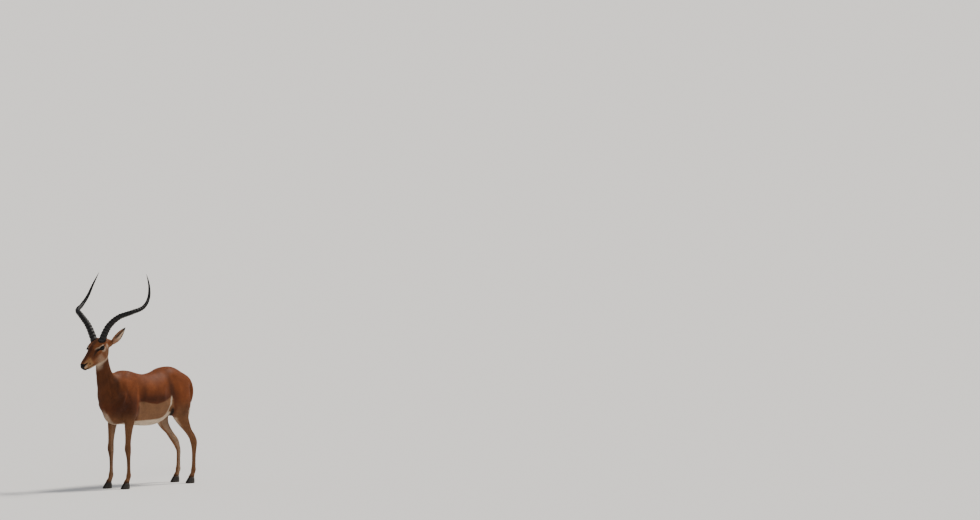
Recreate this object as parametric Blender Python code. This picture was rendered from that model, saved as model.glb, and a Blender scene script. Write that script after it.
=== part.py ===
# Impala ram, life size, standing still with its head up and turned a little to its left.
# Metres. +X is the animal's left, -Y its front, +Z up, and the hooves stand on z = 0.
#
# The flesh is one smooth solid: forms with named sizes (trunk, neck, legs, muscles, skull) are
# melted together, and thin cuts then part it into the head, neck, trunk and legs. Horns, ears,
# eyes, tail and hooves are solids of their own, and each sits in a fitted socket of the flesh.

import math

import bmesh
import bpy
import numpy as np

# ---- driving dimensions ------------------------------------------------------------------
cutGap = 0.0004            # width of the thin cuts and of the clearance round each set-in piece
centreShift = (0.0057, 0.1120)   # moves the whole animal so that its box is centred on the origin
gridStep = 0.0065          # spacing at which the melted surface is sampled
fleshFaces = 4050          # triangles kept for all the flesh

spineHeight = 0.680        # straight middle line of the trunk
coronetHeight = 0.043      # where the hooves begin

headPitch = 34.0           # degrees, nose below the horizon
headYaw = 3.0              # degrees, nose towards the animal's left
headPlace = (0.0, -0.434, 1.088)   # back of the skull

eyeRadius = 0.0185
eyePlace = (0.0545, 0.097, 0.021)  # in the head's frame: out, forward, up
hornBase = (0.042, 0.050, 0.056)
hornRadius = 0.0255        # half the width of a horn above its base
hornRings = 21             # ridges on the lower two thirds
ringHeight = 0.0030
earLength = 0.157
earWidth = 0.034           # half the width of an ear at its widest
earPlace = (0.050, -0.004, -0.016)


# ---- small maths -------------------------------------------------------------------------
def turn(aboutX, aboutY, aboutZ):
    """A 3 x 3 rotation, degrees, about X first, then Y, then Z."""
    a, b, c = (math.radians(v) for v in (aboutX, aboutY, aboutZ))
    rx = np.array([[1, 0, 0], [0, math.cos(a), -math.sin(a)], [0, math.sin(a), math.cos(a)]])
    ry = np.array([[math.cos(b), 0, math.sin(b)], [0, 1, 0], [-math.sin(b), 0, math.cos(b)]])
    rz = np.array([[math.cos(c), -math.sin(c), 0], [math.sin(c), math.cos(c), 0], [0, 0, 1]])
    return rz @ ry @ rx


def unit(vectors):
    """Each vector at length one."""
    vectors = np.asarray(vectors, float)
    return vectors / np.maximum(np.linalg.norm(vectors, axis=-1, keepdims=True), 1e-12)


def throughPoints(rows, samples):
    """A smooth curve through the rows (Catmull-Rom), read at evenly spread samples."""
    rows = np.asarray(rows, float)
    last = len(rows) - 1
    at = np.linspace(0, last, samples)
    left = np.clip(at.astype(int), 0, last - 1)
    f = (at - left)[:, None]
    p0 = rows[np.clip(left - 1, 0, last)]
    p1 = rows[left]
    p2 = rows[left + 1]
    p3 = rows[np.clip(left + 2, 0, last)]
    bend = (2 * p0 - 5 * p1 + 4 * p2 - p3) * f**2 + (3 * p1 - p0 - 3 * p2 + p3) * f**3
    return 0.5 * (2 * p1 + (p2 - p0) * f + bend)


def softMin(a, b, width):
    """The lower of two distances, rounded off where they meet."""
    near = np.maximum(width - np.abs(a - b), 0) / width
    return np.minimum(a, b) - near * near * width * 0.25


headTurn = turn(0, 0, headYaw) @ turn(headPitch, 0, 0)


def fromHead(out, forward, up):
    """A place given in the head's frame (out to the left, forward to the nose, up)."""
    return headTurn @ np.array([out, -forward, up]) + np.array(headPlace)


# ---- forms that are melted together ------------------------------------------------------
class Sweep:
    """A limb or body form: oval sections along a line. A row holds x, y, z, half width, half
    depth towards `top`, half depth away from it, and how square the oval is (2 is an ellipse)."""

    def __init__(self, rows, top, blend, ends=(0.7, 0.7)):
        fine = throughPoints(rows, (len(rows) - 1) * 4 + 1)
        self.blend = blend
        self.ends = ends
        self.line = fine[:, :3]
        self.along = unit(np.gradient(self.line, axis=0))
        top = np.asarray(top, float)
        self.above = unit(top - self.along * (self.along @ top)[:, None])
        self.across = np.cross(self.along, self.above)
        self.sizes = fine[:, 3:7]
        reach = self.sizes[:, :3].max()
        self.low = self.line.min(0) - reach
        self.high = self.line.max(0) + reach

    def distance(self, points):
        best = np.full(len(points), 1e9)
        piece = np.zeros(len(points), int)
        part = np.zeros(len(points))
        for i in range(len(self.line) - 1):
            step = self.line[i + 1] - self.line[i]
            f = np.clip(((points - self.line[i]) @ step) / (step @ step), 0, 1)
            off = points - self.line[i] - f[:, None] * step
            gap = np.einsum("ij,ij->i", off, off)
            nearer = gap < best
            best[nearer] = gap[nearer]
            piece[nearer] = i
            part[nearer] = f[nearer]

        def between(values):
            return values[piece] + (values[piece + 1] - values[piece]) * part[:, None]

        off = points - between(self.line)
        across = np.einsum("ij,ij->i", off, unit(between(self.across)))
        above = np.einsum("ij,ij->i", off, unit(between(self.above)))
        along = np.einsum("ij,ij->i", off, unit(between(self.along)))
        width, upper, lower, power = between(self.sizes).T
        depth = np.where(above > 0, upper, lower)
        end = np.where(along > 0, self.ends[1], self.ends[0])
        end = end * np.minimum(width, np.minimum(upper, lower))
        oval = np.abs(across / width) ** power + np.abs(above / depth) ** power
        oval = oval + np.abs(along / end) ** power
        oval = oval ** (1 / power)
        away = np.sqrt(across**2 + above**2 + along**2)
        inner = -np.minimum(width, depth)
        return np.where(away > 1e-4, away - away / np.maximum(oval, 1e-6), inner)


class Mass:
    """A muscle or a bony swelling: an ellipsoid with three half sizes, turned."""

    def __init__(self, place, size, axes, blend):
        self.place = np.array(place, float)
        self.size = np.array(size, float)
        self.axes = axes
        self.blend = blend
        self.low = self.place - self.size.max()
        self.high = self.place + self.size.max()

    def distance(self, points):
        local = (points - self.place) @ self.axes
        k0 = np.linalg.norm(local / self.size, axis=1)
        k1 = np.maximum(np.linalg.norm(local / self.size**2, axis=1), 1e-9)
        return k0 * (k0 - 1) / k1


def bothSides(place, size, turned, blend):
    """The same muscle on the left and the right."""
    left = Mass(place, size, turn(*turned), blend)
    mirrorTurn = turn(turned[0], -turned[1], -turned[2])
    return [left, Mass((-place[0], place[1], place[2]), size, mirrorTurn, blend)]


def bothCheeks(place, size, blend):
    """The same swelling on both sides of the head, in the head's frame."""
    out, forward, up = place
    return [Mass(fromHead(side * out, forward, up), size, headTurn, blend) for side in (1, -1)]


# ---- trunk and neck ----------------------------------------------------------------------
trunkSections = (  # y, half width, height of the back, height of the belly
    (-0.425, 0.052, 0.735, 0.565),
    (-0.385, 0.080, 0.815, 0.515),
    (-0.330, 0.096, 0.854, 0.488),
    (-0.260, 0.106, 0.870, 0.472),
    (-0.190, 0.115, 0.864, 0.462),
    (-0.110, 0.124, 0.843, 0.455),
    (-0.030, 0.131, 0.832, 0.448),
    (0.050, 0.133, 0.840, 0.450),
    (0.120, 0.127, 0.860, 0.468),
    (0.190, 0.117, 0.876, 0.505),
    (0.260, 0.110, 0.873, 0.548),
    (0.330, 0.102, 0.843, 0.585),
    (0.385, 0.082, 0.790, 0.620),
    (0.415, 0.050, 0.735, 0.650),
)
neckSections = (  # y, z, half width, depth towards the nape, depth towards the throat
    (-0.330, 0.640, 0.080, 0.100, 0.095),
    (-0.375, 0.720, 0.072, 0.095, 0.100),
    (-0.415, 0.790, 0.058, 0.080, 0.088),
    (-0.442, 0.860, 0.047, 0.064, 0.070),
    (-0.458, 0.930, 0.042, 0.056, 0.058),
    (-0.466, 1.000, 0.041, 0.051, 0.053),
    (-0.474, 1.065, 0.042, 0.047, 0.050),
)

trunkMuscles = {  # place on the left side, half sizes, how it is turned, how softly it melts in
    "shoulder blade": ((0.066, -0.262, 0.746), (0.036, 0.078, 0.118), (-22, -9, 4), 0.032),
    "point of shoulder": ((0.076, -0.355, 0.640), (0.036, 0.056, 0.068), (0, 0, 0), 0.040),
    "upper arm": ((0.086, -0.245, 0.620), (0.034, 0.074, 0.095), (14, 0, 0), 0.028),
    "thigh": ((0.072, 0.292, 0.680), (0.050, 0.115, 0.150), (10, 0, 0), 0.036),
    "hip bone": ((0.058, 0.190, 0.820), (0.030, 0.050, 0.028), (0, 0, 0), 0.050),
    "buttock": ((0.047, 0.380, 0.705), (0.038, 0.050, 0.090), (8, 0, 0), 0.050),
    "stifle": ((0.088, 0.200, 0.570), (0.032, 0.048, 0.058), (-25, 0, 0), 0.045),
}


def trunkForms():
    """The barrel, the neck, the breast and the muscles that show under the coat."""
    rows = [
        (0, y, spineHeight, width, back - spineHeight, spineHeight - belly, 2.15)
        for y, width, back, belly in trunkSections
    ]
    forms = [Sweep(rows, (0, 0, 1), 0.05, (0.8, 0.75))]
    rows = [(0, y, z, width, nape, throat, 2.1) for y, z, width, nape, throat in neckSections]
    forms.append(Sweep(rows, (0, 1, 0), 0.06, (0.4, 0.5)))
    forms.append(Mass((0, -0.345, 0.555), (0.055, 0.075, 0.070), turn(0, 0, 0), 0.06))
    for muscle in trunkMuscles.values():
        forms += bothSides(*muscle)
    return forms


# ---- legs --------------------------------------------------------------------------------
forelegSections = (  # z, y, half width, depth in front, depth behind, squareness
    (0.640, -0.262, 0.022, 0.035, 0.040, 2.2),
    (0.560, -0.258, 0.034, 0.048, 0.054, 2.2),
    (0.490, -0.266, 0.031, 0.041, 0.043, 2.2),
    (0.435, -0.272, 0.0255, 0.032, 0.032, 2.2),
    (0.380, -0.277, 0.0215, 0.0245, 0.0245, 2.2),
    (0.335, -0.280, 0.0200, 0.0220, 0.0220, 2.3),
    (0.295, -0.282, 0.0220, 0.0245, 0.0235, 2.4),
    (0.262, -0.279, 0.0190, 0.0200, 0.0220, 2.3),
    (0.225, -0.276, 0.0145, 0.0155, 0.0170, 2.2),
    (0.175, -0.275, 0.0125, 0.0135, 0.0155, 2.2),
    (0.128, -0.275, 0.0130, 0.0140, 0.0170, 2.2),
    (0.098, -0.277, 0.0170, 0.0175, 0.0220, 2.2),
    (0.073, -0.284, 0.0160, 0.0155, 0.0180, 2.2),
    (0.052, -0.295, 0.0205, 0.0195, 0.0190, 2.2),
    (0.036, -0.303, 0.0215, 0.0215, 0.0200, 2.2),
)
hindlegSections = (
    (0.720, 0.295, 0.024, 0.060, 0.060, 2.2),
    (0.630, 0.288, 0.048, 0.098, 0.092, 2.2),
    (0.550, 0.278, 0.047, 0.085, 0.080, 2.2),
    (0.490, 0.300, 0.038, 0.062, 0.058, 2.2),
    (0.440, 0.338, 0.030, 0.045, 0.036, 2.2),
    (0.390, 0.378, 0.0225, 0.030, 0.026, 2.2),
    (0.345, 0.410, 0.0200, 0.025, 0.031, 2.3),
    (0.308, 0.428, 0.0215, 0.0255, 0.0300, 2.4),
    (0.275, 0.433, 0.0190, 0.0215, 0.0245, 2.3),
    (0.235, 0.434, 0.0150, 0.0170, 0.0190, 2.2),
    (0.180, 0.433, 0.0130, 0.0150, 0.0170, 2.2),
    (0.128, 0.431, 0.0135, 0.0155, 0.0180, 2.2),
    (0.100, 0.429, 0.0172, 0.0182, 0.0222, 2.2),
    (0.074, 0.422, 0.0160, 0.0157, 0.0180, 2.2),
    (0.052, 0.412, 0.0205, 0.0195, 0.0190, 2.2),
    (0.036, 0.404, 0.0215, 0.0215, 0.0200, 2.2),
)
# for each leg: sections, x at the top, x at the foot, and how far it is moved back at some heights
stance = {
    "foreleg_left": (forelegSections, 0.084, 0.076, ((0.0, 0.012), (0.60, 0.0))),
    "foreleg_right": (forelegSections, -0.084, -0.076, ((0.0, -0.022), (0.60, 0.0))),
    "hindleg_left": (
        hindlegSections, 0.080, 0.078,
        ((0.0, -0.008), (0.30, -0.004), (0.40, -0.004), (0.47, 0.006), (0.66, 0.0)),
    ),
    "hindleg_right": (
        hindlegSections, -0.080, -0.078,
        ((0.0, -0.008), (0.24, -0.008), (0.30, -0.034), (0.345, -0.056), (0.44, -0.060), (0.66, 0.0)),
    ),
}


def legRows(name):
    """The leg's sections in its stance."""
    sections, topX, footX, moves = stance[name]
    top = sections[0][0]
    rows = []
    for z, y, width, front, behind, power in sections:
        down = 1 - z / top
        down = down * down * (3 - 2 * down)
        back = np.interp(z, [m[0] for m in moves], [m[1] for m in moves])
        rows.append((topX + (footX - topX) * down, y + back, z, width, front, behind, power))
    return rows


def legForms():
    return [Sweep(legRows(name), (0, -1, 0), 0.026, (0.6, 0.5)) for name in stance]


# ---- head --------------------------------------------------------------------------------
skullSections = (  # forward, up, half width, depth to the forehead, depth to the jaw, squareness
    (0.006, 0.000, 0.046, 0.043, 0.048, 2.1),
    (0.043, 0.004, 0.056, 0.058, 0.073, 2.2),
    (0.081, 0.006, 0.058, 0.062, 0.089, 2.2),
    (0.119, 0.004, 0.052, 0.057, 0.092, 2.3),
    (0.157, 0.000, 0.044, 0.048, 0.086, 2.4),
    (0.200, -0.003, 0.037, 0.040, 0.075, 2.4),
    (0.243, -0.006, 0.033, 0.035, 0.060, 2.4),
    (0.270, -0.008, 0.031, 0.031, 0.049, 2.4),
    (0.288, -0.012, 0.026, 0.023, 0.037, 2.3),
)

headSwellings = {  # place on the left in the head's frame, half sizes, how softly it melts in
    "rim of the eye": ((0.0465, 0.097, 0.025), (0.0215, 0.034, 0.026), 0.014),
    "cheek": ((0.032, 0.098, -0.046), (0.023, 0.058, 0.040), 0.020),
    "foot of the horn": ((0.040, 0.050, 0.046), (0.028, 0.028, 0.024), 0.020),
    "root of the ear": ((0.044, 0.000, -0.010), (0.025, 0.026, 0.028), 0.024),
}


def headForms():
    rows = []
    for forward, up, width, over, under, power in skullSections:
        rows.append((*fromHead(0, forward, up), width, over, under, power))
    forms = [Sweep(rows, headTurn @ np.array([0, 0, 1.0]), 0.034, (0.6, 0.8))]
    for swelling in headSwellings.values():
        forms += bothCheeks(*swelling)
    return forms


# ---- sampling the melted forms -----------------------------------------------------------
def melted(points, forms, reach=0.05):
    """Distance to the surface of all the forms together, below zero inside."""
    field = np.full(len(points), 1.0)
    for form in forms:
        pad = reach + form.blend
        near = np.all((points > form.low - pad) & (points < form.high + pad), axis=1)
        if near.any():
            field[near] = softMin(field[near], form.distance(points[near]), form.blend)
    return field


def sampledField(forms, step, low, high, ratio=4):
    """The field on a grid: coarse everywhere, and fine only in the cells that the surface crosses."""
    axes = [np.arange(a, b + step, step) for a, b in zip(low, high)]
    wide = [np.append(a[::ratio], a[::ratio][-1] + step * ratio) for a in axes]
    corners = np.stack(np.meshgrid(*wide, indexing="ij"), -1).reshape(-1, 3)
    coarse = melted(corners, forms).reshape([len(a) for a in wide])
    cells = tuple(n - 1 for n in coarse.shape)
    lowest = np.full(cells, 1e9)
    highest = np.full(cells, -1e9)
    for corner in np.ndindex(2, 2, 2):
        piece = coarse[tuple(slice(c, c + n) for c, n in zip(corner, cells))]
        lowest = np.minimum(lowest, piece)
        highest = np.maximum(highest, piece)
    margin = step * ratio * 0.9
    crossed = (lowest < margin) & (highest > -margin)
    index = [np.minimum(np.arange(len(a)) // ratio, n - 1) for a, n in zip(axes, cells)]
    field = ((lowest + highest) * 0.5)[np.ix_(*index)]
    where = np.nonzero(crossed[np.ix_(*index)])
    points = np.stack([a[i] for a, i in zip(axes, where)], 1)
    field[where] = melted(points, forms, reach=0.02)
    return field, axes


def surfaceOf(field, axes):
    """Vertices and outward quads of the surface field = 0: one vertex in each crossed cell."""
    inside = field < 0
    cells = tuple(n - 1 for n in field.shape)
    total = np.zeros(cells + (3,))
    count = np.zeros(cells)

    def shifted(values, corner):
        return values[tuple(slice(c, c + n) for c, n in zip(corner, cells))]

    for axis in range(3):
        for first in (0, 1):
            for second in (0, 1):
                start = np.insert([first, second], axis, 0)
                stop = np.insert([first, second], axis, 1)
                a = shifted(field, start)
                b = shifted(field, stop)
                crossed = shifted(inside, start) != shifted(inside, stop)
                f = np.where(crossed, a / np.where(a == b, 1, a - b), 0)
                for k in range(3):
                    total[..., k] += np.where(crossed, f if k == axis else start[k], 0)
                count += crossed
    used = count > 0
    number = np.full(cells, -1)
    number[used] = np.arange(used.sum())
    cell = np.nonzero(used)
    spot = total[used] / count[used][:, None]
    steps = [a[1] - a[0] for a in axes]
    vertices = np.stack([axes[k][cell[k]] + spot[:, k] * steps[k] for k in range(3)], 1)
    quads = []
    for axis in range(3):
        one, two = [k for k in range(3) if k != axis]
        here = np.moveaxis(inside, axis, 0)
        crossed = np.argwhere(here[:-1] != here[1:])
        edge = np.insert(crossed[:, 1:], axis, crossed[:, 0], axis=1)
        outward = inside[tuple(edge.T)]

        def beside(back1, back2):
            c = edge.copy()
            c[:, one] -= back1
            c[:, two] -= back2
            return number[tuple(c.T)]

        quad = np.stack([beside(1, 1), beside(0, 1), beside(0, 0), beside(1, 0)], 1)
        flip = outward if axis == 1 else ~outward
        quad[flip] = quad[flip][:, ::-1]
        quads.append(quad)
    return vertices, np.concatenate(quads)


# ---- objects -----------------------------------------------------------------------------
def newMaterial(name, colour, roughness):
    material = bpy.data.materials.new(name)
    material.use_nodes = True
    shader = material.node_tree.nodes["Principled BSDF"]
    shader.inputs["Base Color"].default_value = (*colour, 1.0)
    shader.inputs["Roughness"].default_value = roughness
    shader.inputs["Metallic"].default_value = 0.0
    return material


def newObject(name, vertices, faces, material=None):
    """A mesh object from points in the animal's frame."""
    mesh = bpy.data.meshes.new(name)
    shift = np.array([*centreShift, 0.0])
    mesh.from_pydata([tuple(v) for v in np.asarray(vertices) + shift], [], [list(f) for f in faces])
    mesh.validate()
    body = bpy.data.objects.new(name, mesh)
    bpy.context.scene.collection.objects.link(body)
    if material:
        mesh.materials.append(material)
    return body


def applied(body):
    """The body's mesh with its modifiers worked out and taken off."""
    graph = bpy.context.evaluated_depsgraph_get()
    mesh = bpy.data.meshes.new_from_object(body.evaluated_get(graph))
    body.modifiers.clear()
    body.data = mesh


def facingOut(body):
    """Triangles, with their faces outward."""
    shape = bmesh.new()
    shape.from_mesh(body.data)
    bmesh.ops.triangulate(shape, faces=shape.faces)
    bmesh.ops.recalc_face_normals(shape, faces=shape.faces)
    shape.to_mesh(body.data)
    shape.free()


def makeCutter(body):
    body.hide_render = True
    body.display_type = "WIRE"


def slab(name, place, across, along, size):
    """A thin board: its middle, the direction it is thin in, one direction in its plane, and its size."""
    normal = unit(np.array(across, float))
    side = unit(np.array(along, float) - normal * (np.array(along, float) @ normal))
    other = np.cross(normal, side)
    corners = []
    for a, b, c in np.ndindex(2, 2, 2):
        corner = np.array(place, float) + normal * (a - 0.5) * cutGap
        corner = corner + side * (b - 0.5) * size[0] + other * (c - 0.5) * size[1]
        corners.append(corner)
    faces = ((0, 1, 3, 2), (4, 6, 7, 5), (0, 4, 5, 1), (2, 3, 7, 6), (0, 2, 6, 4), (1, 5, 7, 3))
    board = newObject(name, corners, faces)
    facingOut(board)
    makeCutter(board)
    return board


def loft(name, loops, material=None):
    """A closed solid through loops of points, each with the same count, with flat ends."""
    count = len(loops[0])
    vertices = [p for loop in loops for p in loop]
    faces = []
    for k in range(len(loops) - 1):
        for i in range(count):
            j = (i + 1) % count
            faces.append((k * count + i, k * count + j, (k + 1) * count + j, (k + 1) * count + i))
    faces.append(tuple(range(count))[::-1])
    faces.append(tuple(range((len(loops) - 1) * count, len(loops) * count)))
    body = newObject(name, vertices, faces, material)
    facingOut(body)
    return body


# ---- horns -------------------------------------------------------------------------------
hornLine = (  # from the base, with the head level: out, back, up
    (0.000, 0.000, -0.020),
    (0.004, 0.000, 0.010),
    (0.057, 0.004, 0.100),
    (0.138, 0.021, 0.168),
    (0.219, 0.071, 0.204),
    (0.256, 0.158, 0.238),
    (0.254, 0.222, 0.303),
    (0.231, 0.256, 0.390),
    (0.190, 0.274, 0.476),
)


def hornStations():
    """Place along the horn (0 to 1) and radius of each section: a ridge is two sections."""
    stations = [(0.0, hornRadius), (0.035, hornRadius)]
    ringEnd = 0.70
    for ring in range(hornRings):
        begin = 0.045 + (ringEnd - 0.045) * (ring / hornRings) ** 0.92
        close = 0.045 + (ringEnd - 0.045) * ((ring + 1) / hornRings) ** 0.92
        for f, high in ((0.30, 1.0), (0.85, 0.0)):
            at = begin + (close - begin) * f
            fade = 1 - 0.6 * at / ringEnd
            stations.append((at, hornRadius * (1 - at) ** 0.62 + ringHeight * (high - 0.35) * fade))
    for at in (0.74, 0.80, 0.86, 0.92, 0.965, 1.0):
        stations.append((at, max(hornRadius * (1 - at) ** 0.62, 0.0016)))
    return stations


def hornLoops(side, sides=8):
    base = fromHead(side * hornBase[0], hornBase[1], hornBase[2])
    level = turn(0, 0, headYaw)
    line = throughPoints([(side * out, back, up) for out, back, up in hornLine], 400) @ level.T + base
    length = np.concatenate([[0], np.cumsum(np.linalg.norm(np.diff(line, axis=0), axis=1))])
    length = length / length[-1]
    tangent = unit(np.gradient(line, axis=0))
    loops = []
    for at, radius in hornStations():
        spot = np.array([np.interp(at, length, line[:, k]) for k in range(3)])
        along = unit(np.array([np.interp(at, length, tangent[:, k]) for k in range(3)]))
        front = level @ np.array([0, -1.0, 0])
        front = unit(front - along * (front @ along))
        outer = np.cross(along, front)
        loop = []
        for i in range(sides):
            a = 2 * math.pi * i / sides
            deep = 1.12 - 0.12 * min(at / 0.5, 1)
            loop.append(spot + radius * (math.cos(a) * front * deep + math.sin(a) * outer))
        loops.append(loop)
    return loops


# ---- ears --------------------------------------------------------------------------------
earPose = {  # each ear's direction and the way its hollow faces, in the animal's frame
    1: ((0.512, 0.441, 0.738), (0.80, -0.20, -0.435)),
    -1: ((-0.94, 0.00, -0.33), (-0.10, -0.95, -0.10)),
}
earShape = (  # along the ear, half width, depth of the hollow, thickness
    (-0.10, 0.42, 0.10, 0.016),
    (0.02, 0.52, 0.55, 0.0070),
    (0.14, 0.74, 0.70, 0.0046),
    (0.28, 0.94, 0.62, 0.0040),
    (0.42, 1.00, 0.50, 0.0036),
    (0.57, 0.92, 0.40, 0.0034),
    (0.72, 0.72, 0.30, 0.0032),
    (0.86, 0.42, 0.18, 0.0030),
    (0.95, 0.19, 0.08, 0.0028),
    (1.00, 0.06, 0.02, 0.0024),
)


def earLoops(side):
    """Crescent sections, hollow towards the way the ear faces."""
    root = fromHead(side * earPlace[0], earPlace[1], earPlace[2])
    along = unit(earPose[side][0])
    faces = np.array(earPose[side][1], float)
    faces = unit(faces - along * (faces @ along))
    across = np.cross(along, faces)
    loops = []
    for at, wide, hollow, thick in earShape:
        middle = root + along * at * earLength
        loop = []
        for skin, order in ((1, range(-3, 4)), (-1, range(3, -4, -1))):
            for i in order:
                bow = i / 3
                sway = bow * wide * earWidth
                sag = (bow * bow - 0.45) * hollow * earWidth * wide
                rim = 1 - 0.55 * bow * bow
                push = -skin * thick * 0.5 * rim
                loop.append(middle + across * sway + faces * (sag + push))
        loops.append(loop)
    return loops


# ---- tail and hooves ---------------------------------------------------------------------
tailLine = (  # y, z, half width, half thickness
    (0.376, 0.770, 0.015, 0.010),
    (0.408, 0.766, 0.018, 0.012),
    (0.437, 0.736, 0.021, 0.013),
    (0.449, 0.688, 0.024, 0.014),
    (0.448, 0.630, 0.026, 0.015),
    (0.443, 0.570, 0.027, 0.015),
    (0.439, 0.515, 0.020, 0.011),
    (0.435, 0.478, 0.006, 0.005),
)


def tailLoops(sides=10):
    rows = throughPoints([(0, y, z, wide, thick) for y, z, wide, thick in tailLine], 14)
    along = unit(np.gradient(rows[:, :3], axis=0))
    loops = []
    for k, (x, y, z, wide, thick) in enumerate(rows):
        across = np.array([1.0, 0, 0])
        behind = np.cross(along[k], across)
        loop = []
        for i in range(sides):
            a = 2 * math.pi * i / sides
            spot = wide * math.cos(a) * across + thick * math.sin(a) * behind
            loop.append(np.array([x, y, z]) + spot)
        loops.append(loop)
    return loops


clawSides = 8
clawShape = (  # height, heel, toe, half width on the inner side, half width on the outer side
    (0.000, 0.026, 0.046, 0.0095, 0.0125),
    (0.010, 0.027, 0.045, 0.0098, 0.0128),
    (0.024, 0.026, 0.035, 0.0098, 0.0122),
    (0.036, 0.023, 0.026, 0.0094, 0.0112),
    (coronetHeight - 0.0006, 0.020, 0.020, 0.0088, 0.0102),
)


def clawLoops(legName, outward):
    """One claw of a cloven hoof: outward is the side of the foot that it is on."""
    foot = legRows(legName)[-1]
    loops = []
    for height, heel, toe, inner, outer in clawShape:
        middle = np.array([foot[0] + outward * 0.0106, foot[1] - 0.002 + height * 0.10, height])
        loop = []
        for i in range(clawSides):
            a = 2 * math.pi * i / clawSides
            c = math.cos(a)
            s = math.sin(a)
            wide = outer if s * outward > 0 else inner
            narrow = 1 - 0.45 * max(c, 0) ** 2 * (1 if s * outward > 0 else 0.25)
            y = -toe * c if c > 0 else -heel * c
            loop.append(middle + np.array([wide * s * narrow, y, 0]))
        loops.append(loop)
    return loops


# ---- build -------------------------------------------------------------------------------
for old in list(bpy.data.objects):
    bpy.data.objects.remove(old)

coatRed = newMaterial("coat", (0.36, 0.15, 0.06), 0.75)
coatTan = newMaterial("coat_legs", (0.50, 0.27, 0.13), 0.75)
hornDark = newMaterial("horn", (0.035, 0.028, 0.024), 0.45)
hoofDark = newMaterial("hoof", (0.025, 0.020, 0.018), 0.40)
eyeDark = newMaterial("eye", (0.010, 0.006, 0.004), 0.08)
earInner = newMaterial("ear", (0.55, 0.40, 0.30), 0.80)
tailWhite = newMaterial("tail", (0.72, 0.66, 0.58), 0.80)


def eyeBall(name, side):
    place = fromHead(side * eyePlace[0], eyePlace[1], eyePlace[2])
    shape = bmesh.new()
    bmesh.ops.create_uvsphere(shape, u_segments=12, v_segments=8, radius=eyeRadius)
    points = [np.array(v.co) + place for v in shape.verts]
    faces = [[v.index for v in f.verts] for f in shape.faces]
    shape.free()
    body = newObject(name, points, faces, eyeDark)
    facingOut(body)
    return body


def socketFor(body):
    """A copy of a set-in piece, thicker all round by the clearance, that cuts its socket."""
    shape = bmesh.new()
    shape.from_mesh(body.data)
    shape.normal_update()
    moves = [v.normal * min(v.calc_shell_factor(), 2.0) * cutGap for v in shape.verts]
    for vertex, move in zip(shape.verts, moves):
        vertex.co += move
    mesh = bpy.data.meshes.new("socket_" + body.name)
    shape.to_mesh(mesh)
    shape.free()
    socket = bpy.data.objects.new(mesh.name, mesh)
    bpy.context.scene.collection.objects.link(socket)
    makeCutter(socket)
    return socket


def setInPieces():
    """The horns, ears, eyes and tail, which sit in sockets of the flesh."""
    pieces = []
    for side, word in ((1, "left"), (-1, "right")):
        pieces.append(loft("horn_" + word, hornLoops(side), hornDark))
        pieces.append(loft("ear_" + word, earLoops(side), earInner))
        pieces.append(eyeBall("eye_" + word, side))
    pieces.append(loft("tail", tailLoops(), tailWhite))
    return pieces


def dividers():
    """Thin boards that part the flesh into the animal's named parts, and one that ends the legs."""
    mouth = fromHead(0, 0.215, -0.0558)
    mouthNormal = headTurn @ np.array([0, 0.42, 1.0])
    boards = [
        slab("cut_head", (0, -0.465, 0.955), (0, -0.584, 0.812), (1, 0, 0), (0.20, 0.27)),
        slab("cut_jaw", mouth, mouthNormal, (1, 0, 0), (0.20, 0.21)),
        slab("cut_neck", (0, -0.412, 0.765), (0, -0.877, 0.48), (1, 0, 0), (0.40, 0.40)),
    ]
    for side, word in ((1, "left"), (-1, "right")):
        elbow = (side * 0.085, -0.265, 0.484)
        stifle = (side * 0.084, 0.290, 0.560)
        elbowNormal = (-side * 0.485, 0, 0.874)
        stifleNormal = (-side * 0.62, -0.36, 0.90)
        boards.append(slab("cut_foreleg_" + word, elbow, elbowNormal, (0, 1, 0), (0.24, 0.15)))
        boards.append(slab("cut_hindleg_" + word, stifle, stifleNormal, (0, 1, 0), (0.46, 0.20)))
    under = slab("cut_feet", (0, 0.05, 0), (0, 0, 1), (1, 0, 0), (0.6, 1.2))
    for vertex in under.data.vertices:
        vertex.co.z = coronetHeight if vertex.co.z > 0 else -0.1
    boards.append(under)
    return boards


seeds = {  # a place on each part of the flesh
    "head": fromHead(0, 0.120, 0.055),
    "lower_jaw": fromHead(0, 0.250, -0.060),
    "neck": (0, -0.515, 0.900),
    "trunk": (0, 0.000, 0.832),
    "foreleg_left": (0.077, -0.275, 0.200),
    "foreleg_right": (-0.077, -0.290, 0.200),
    "hindleg_left": (0.079, 0.430, 0.200),
    "hindleg_right": (-0.079, 0.420, 0.200),
}


def fleshBody():
    forms = trunkForms() + legForms() + headForms()
    field, axes = sampledField(forms, gridStep, (-0.20, -0.80, -0.02), (0.20, 0.50, 1.22))
    vertices, quads = surfaceOf(field, axes)
    body = newObject("flesh", vertices, quads, coatRed)
    fewer = body.modifiers.new("fewer", "DECIMATE")
    fewer.ratio = fleshFaces / (2 * len(quads))
    applied(body)
    return body


def cut(body, cutters):
    for cutter in cutters:
        boolean = body.modifiers.new(cutter.name, "BOOLEAN")
        boolean.operation = "DIFFERENCE"
        boolean.solver = "EXACT"
        boolean.object = cutter
        applied(body)


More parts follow.
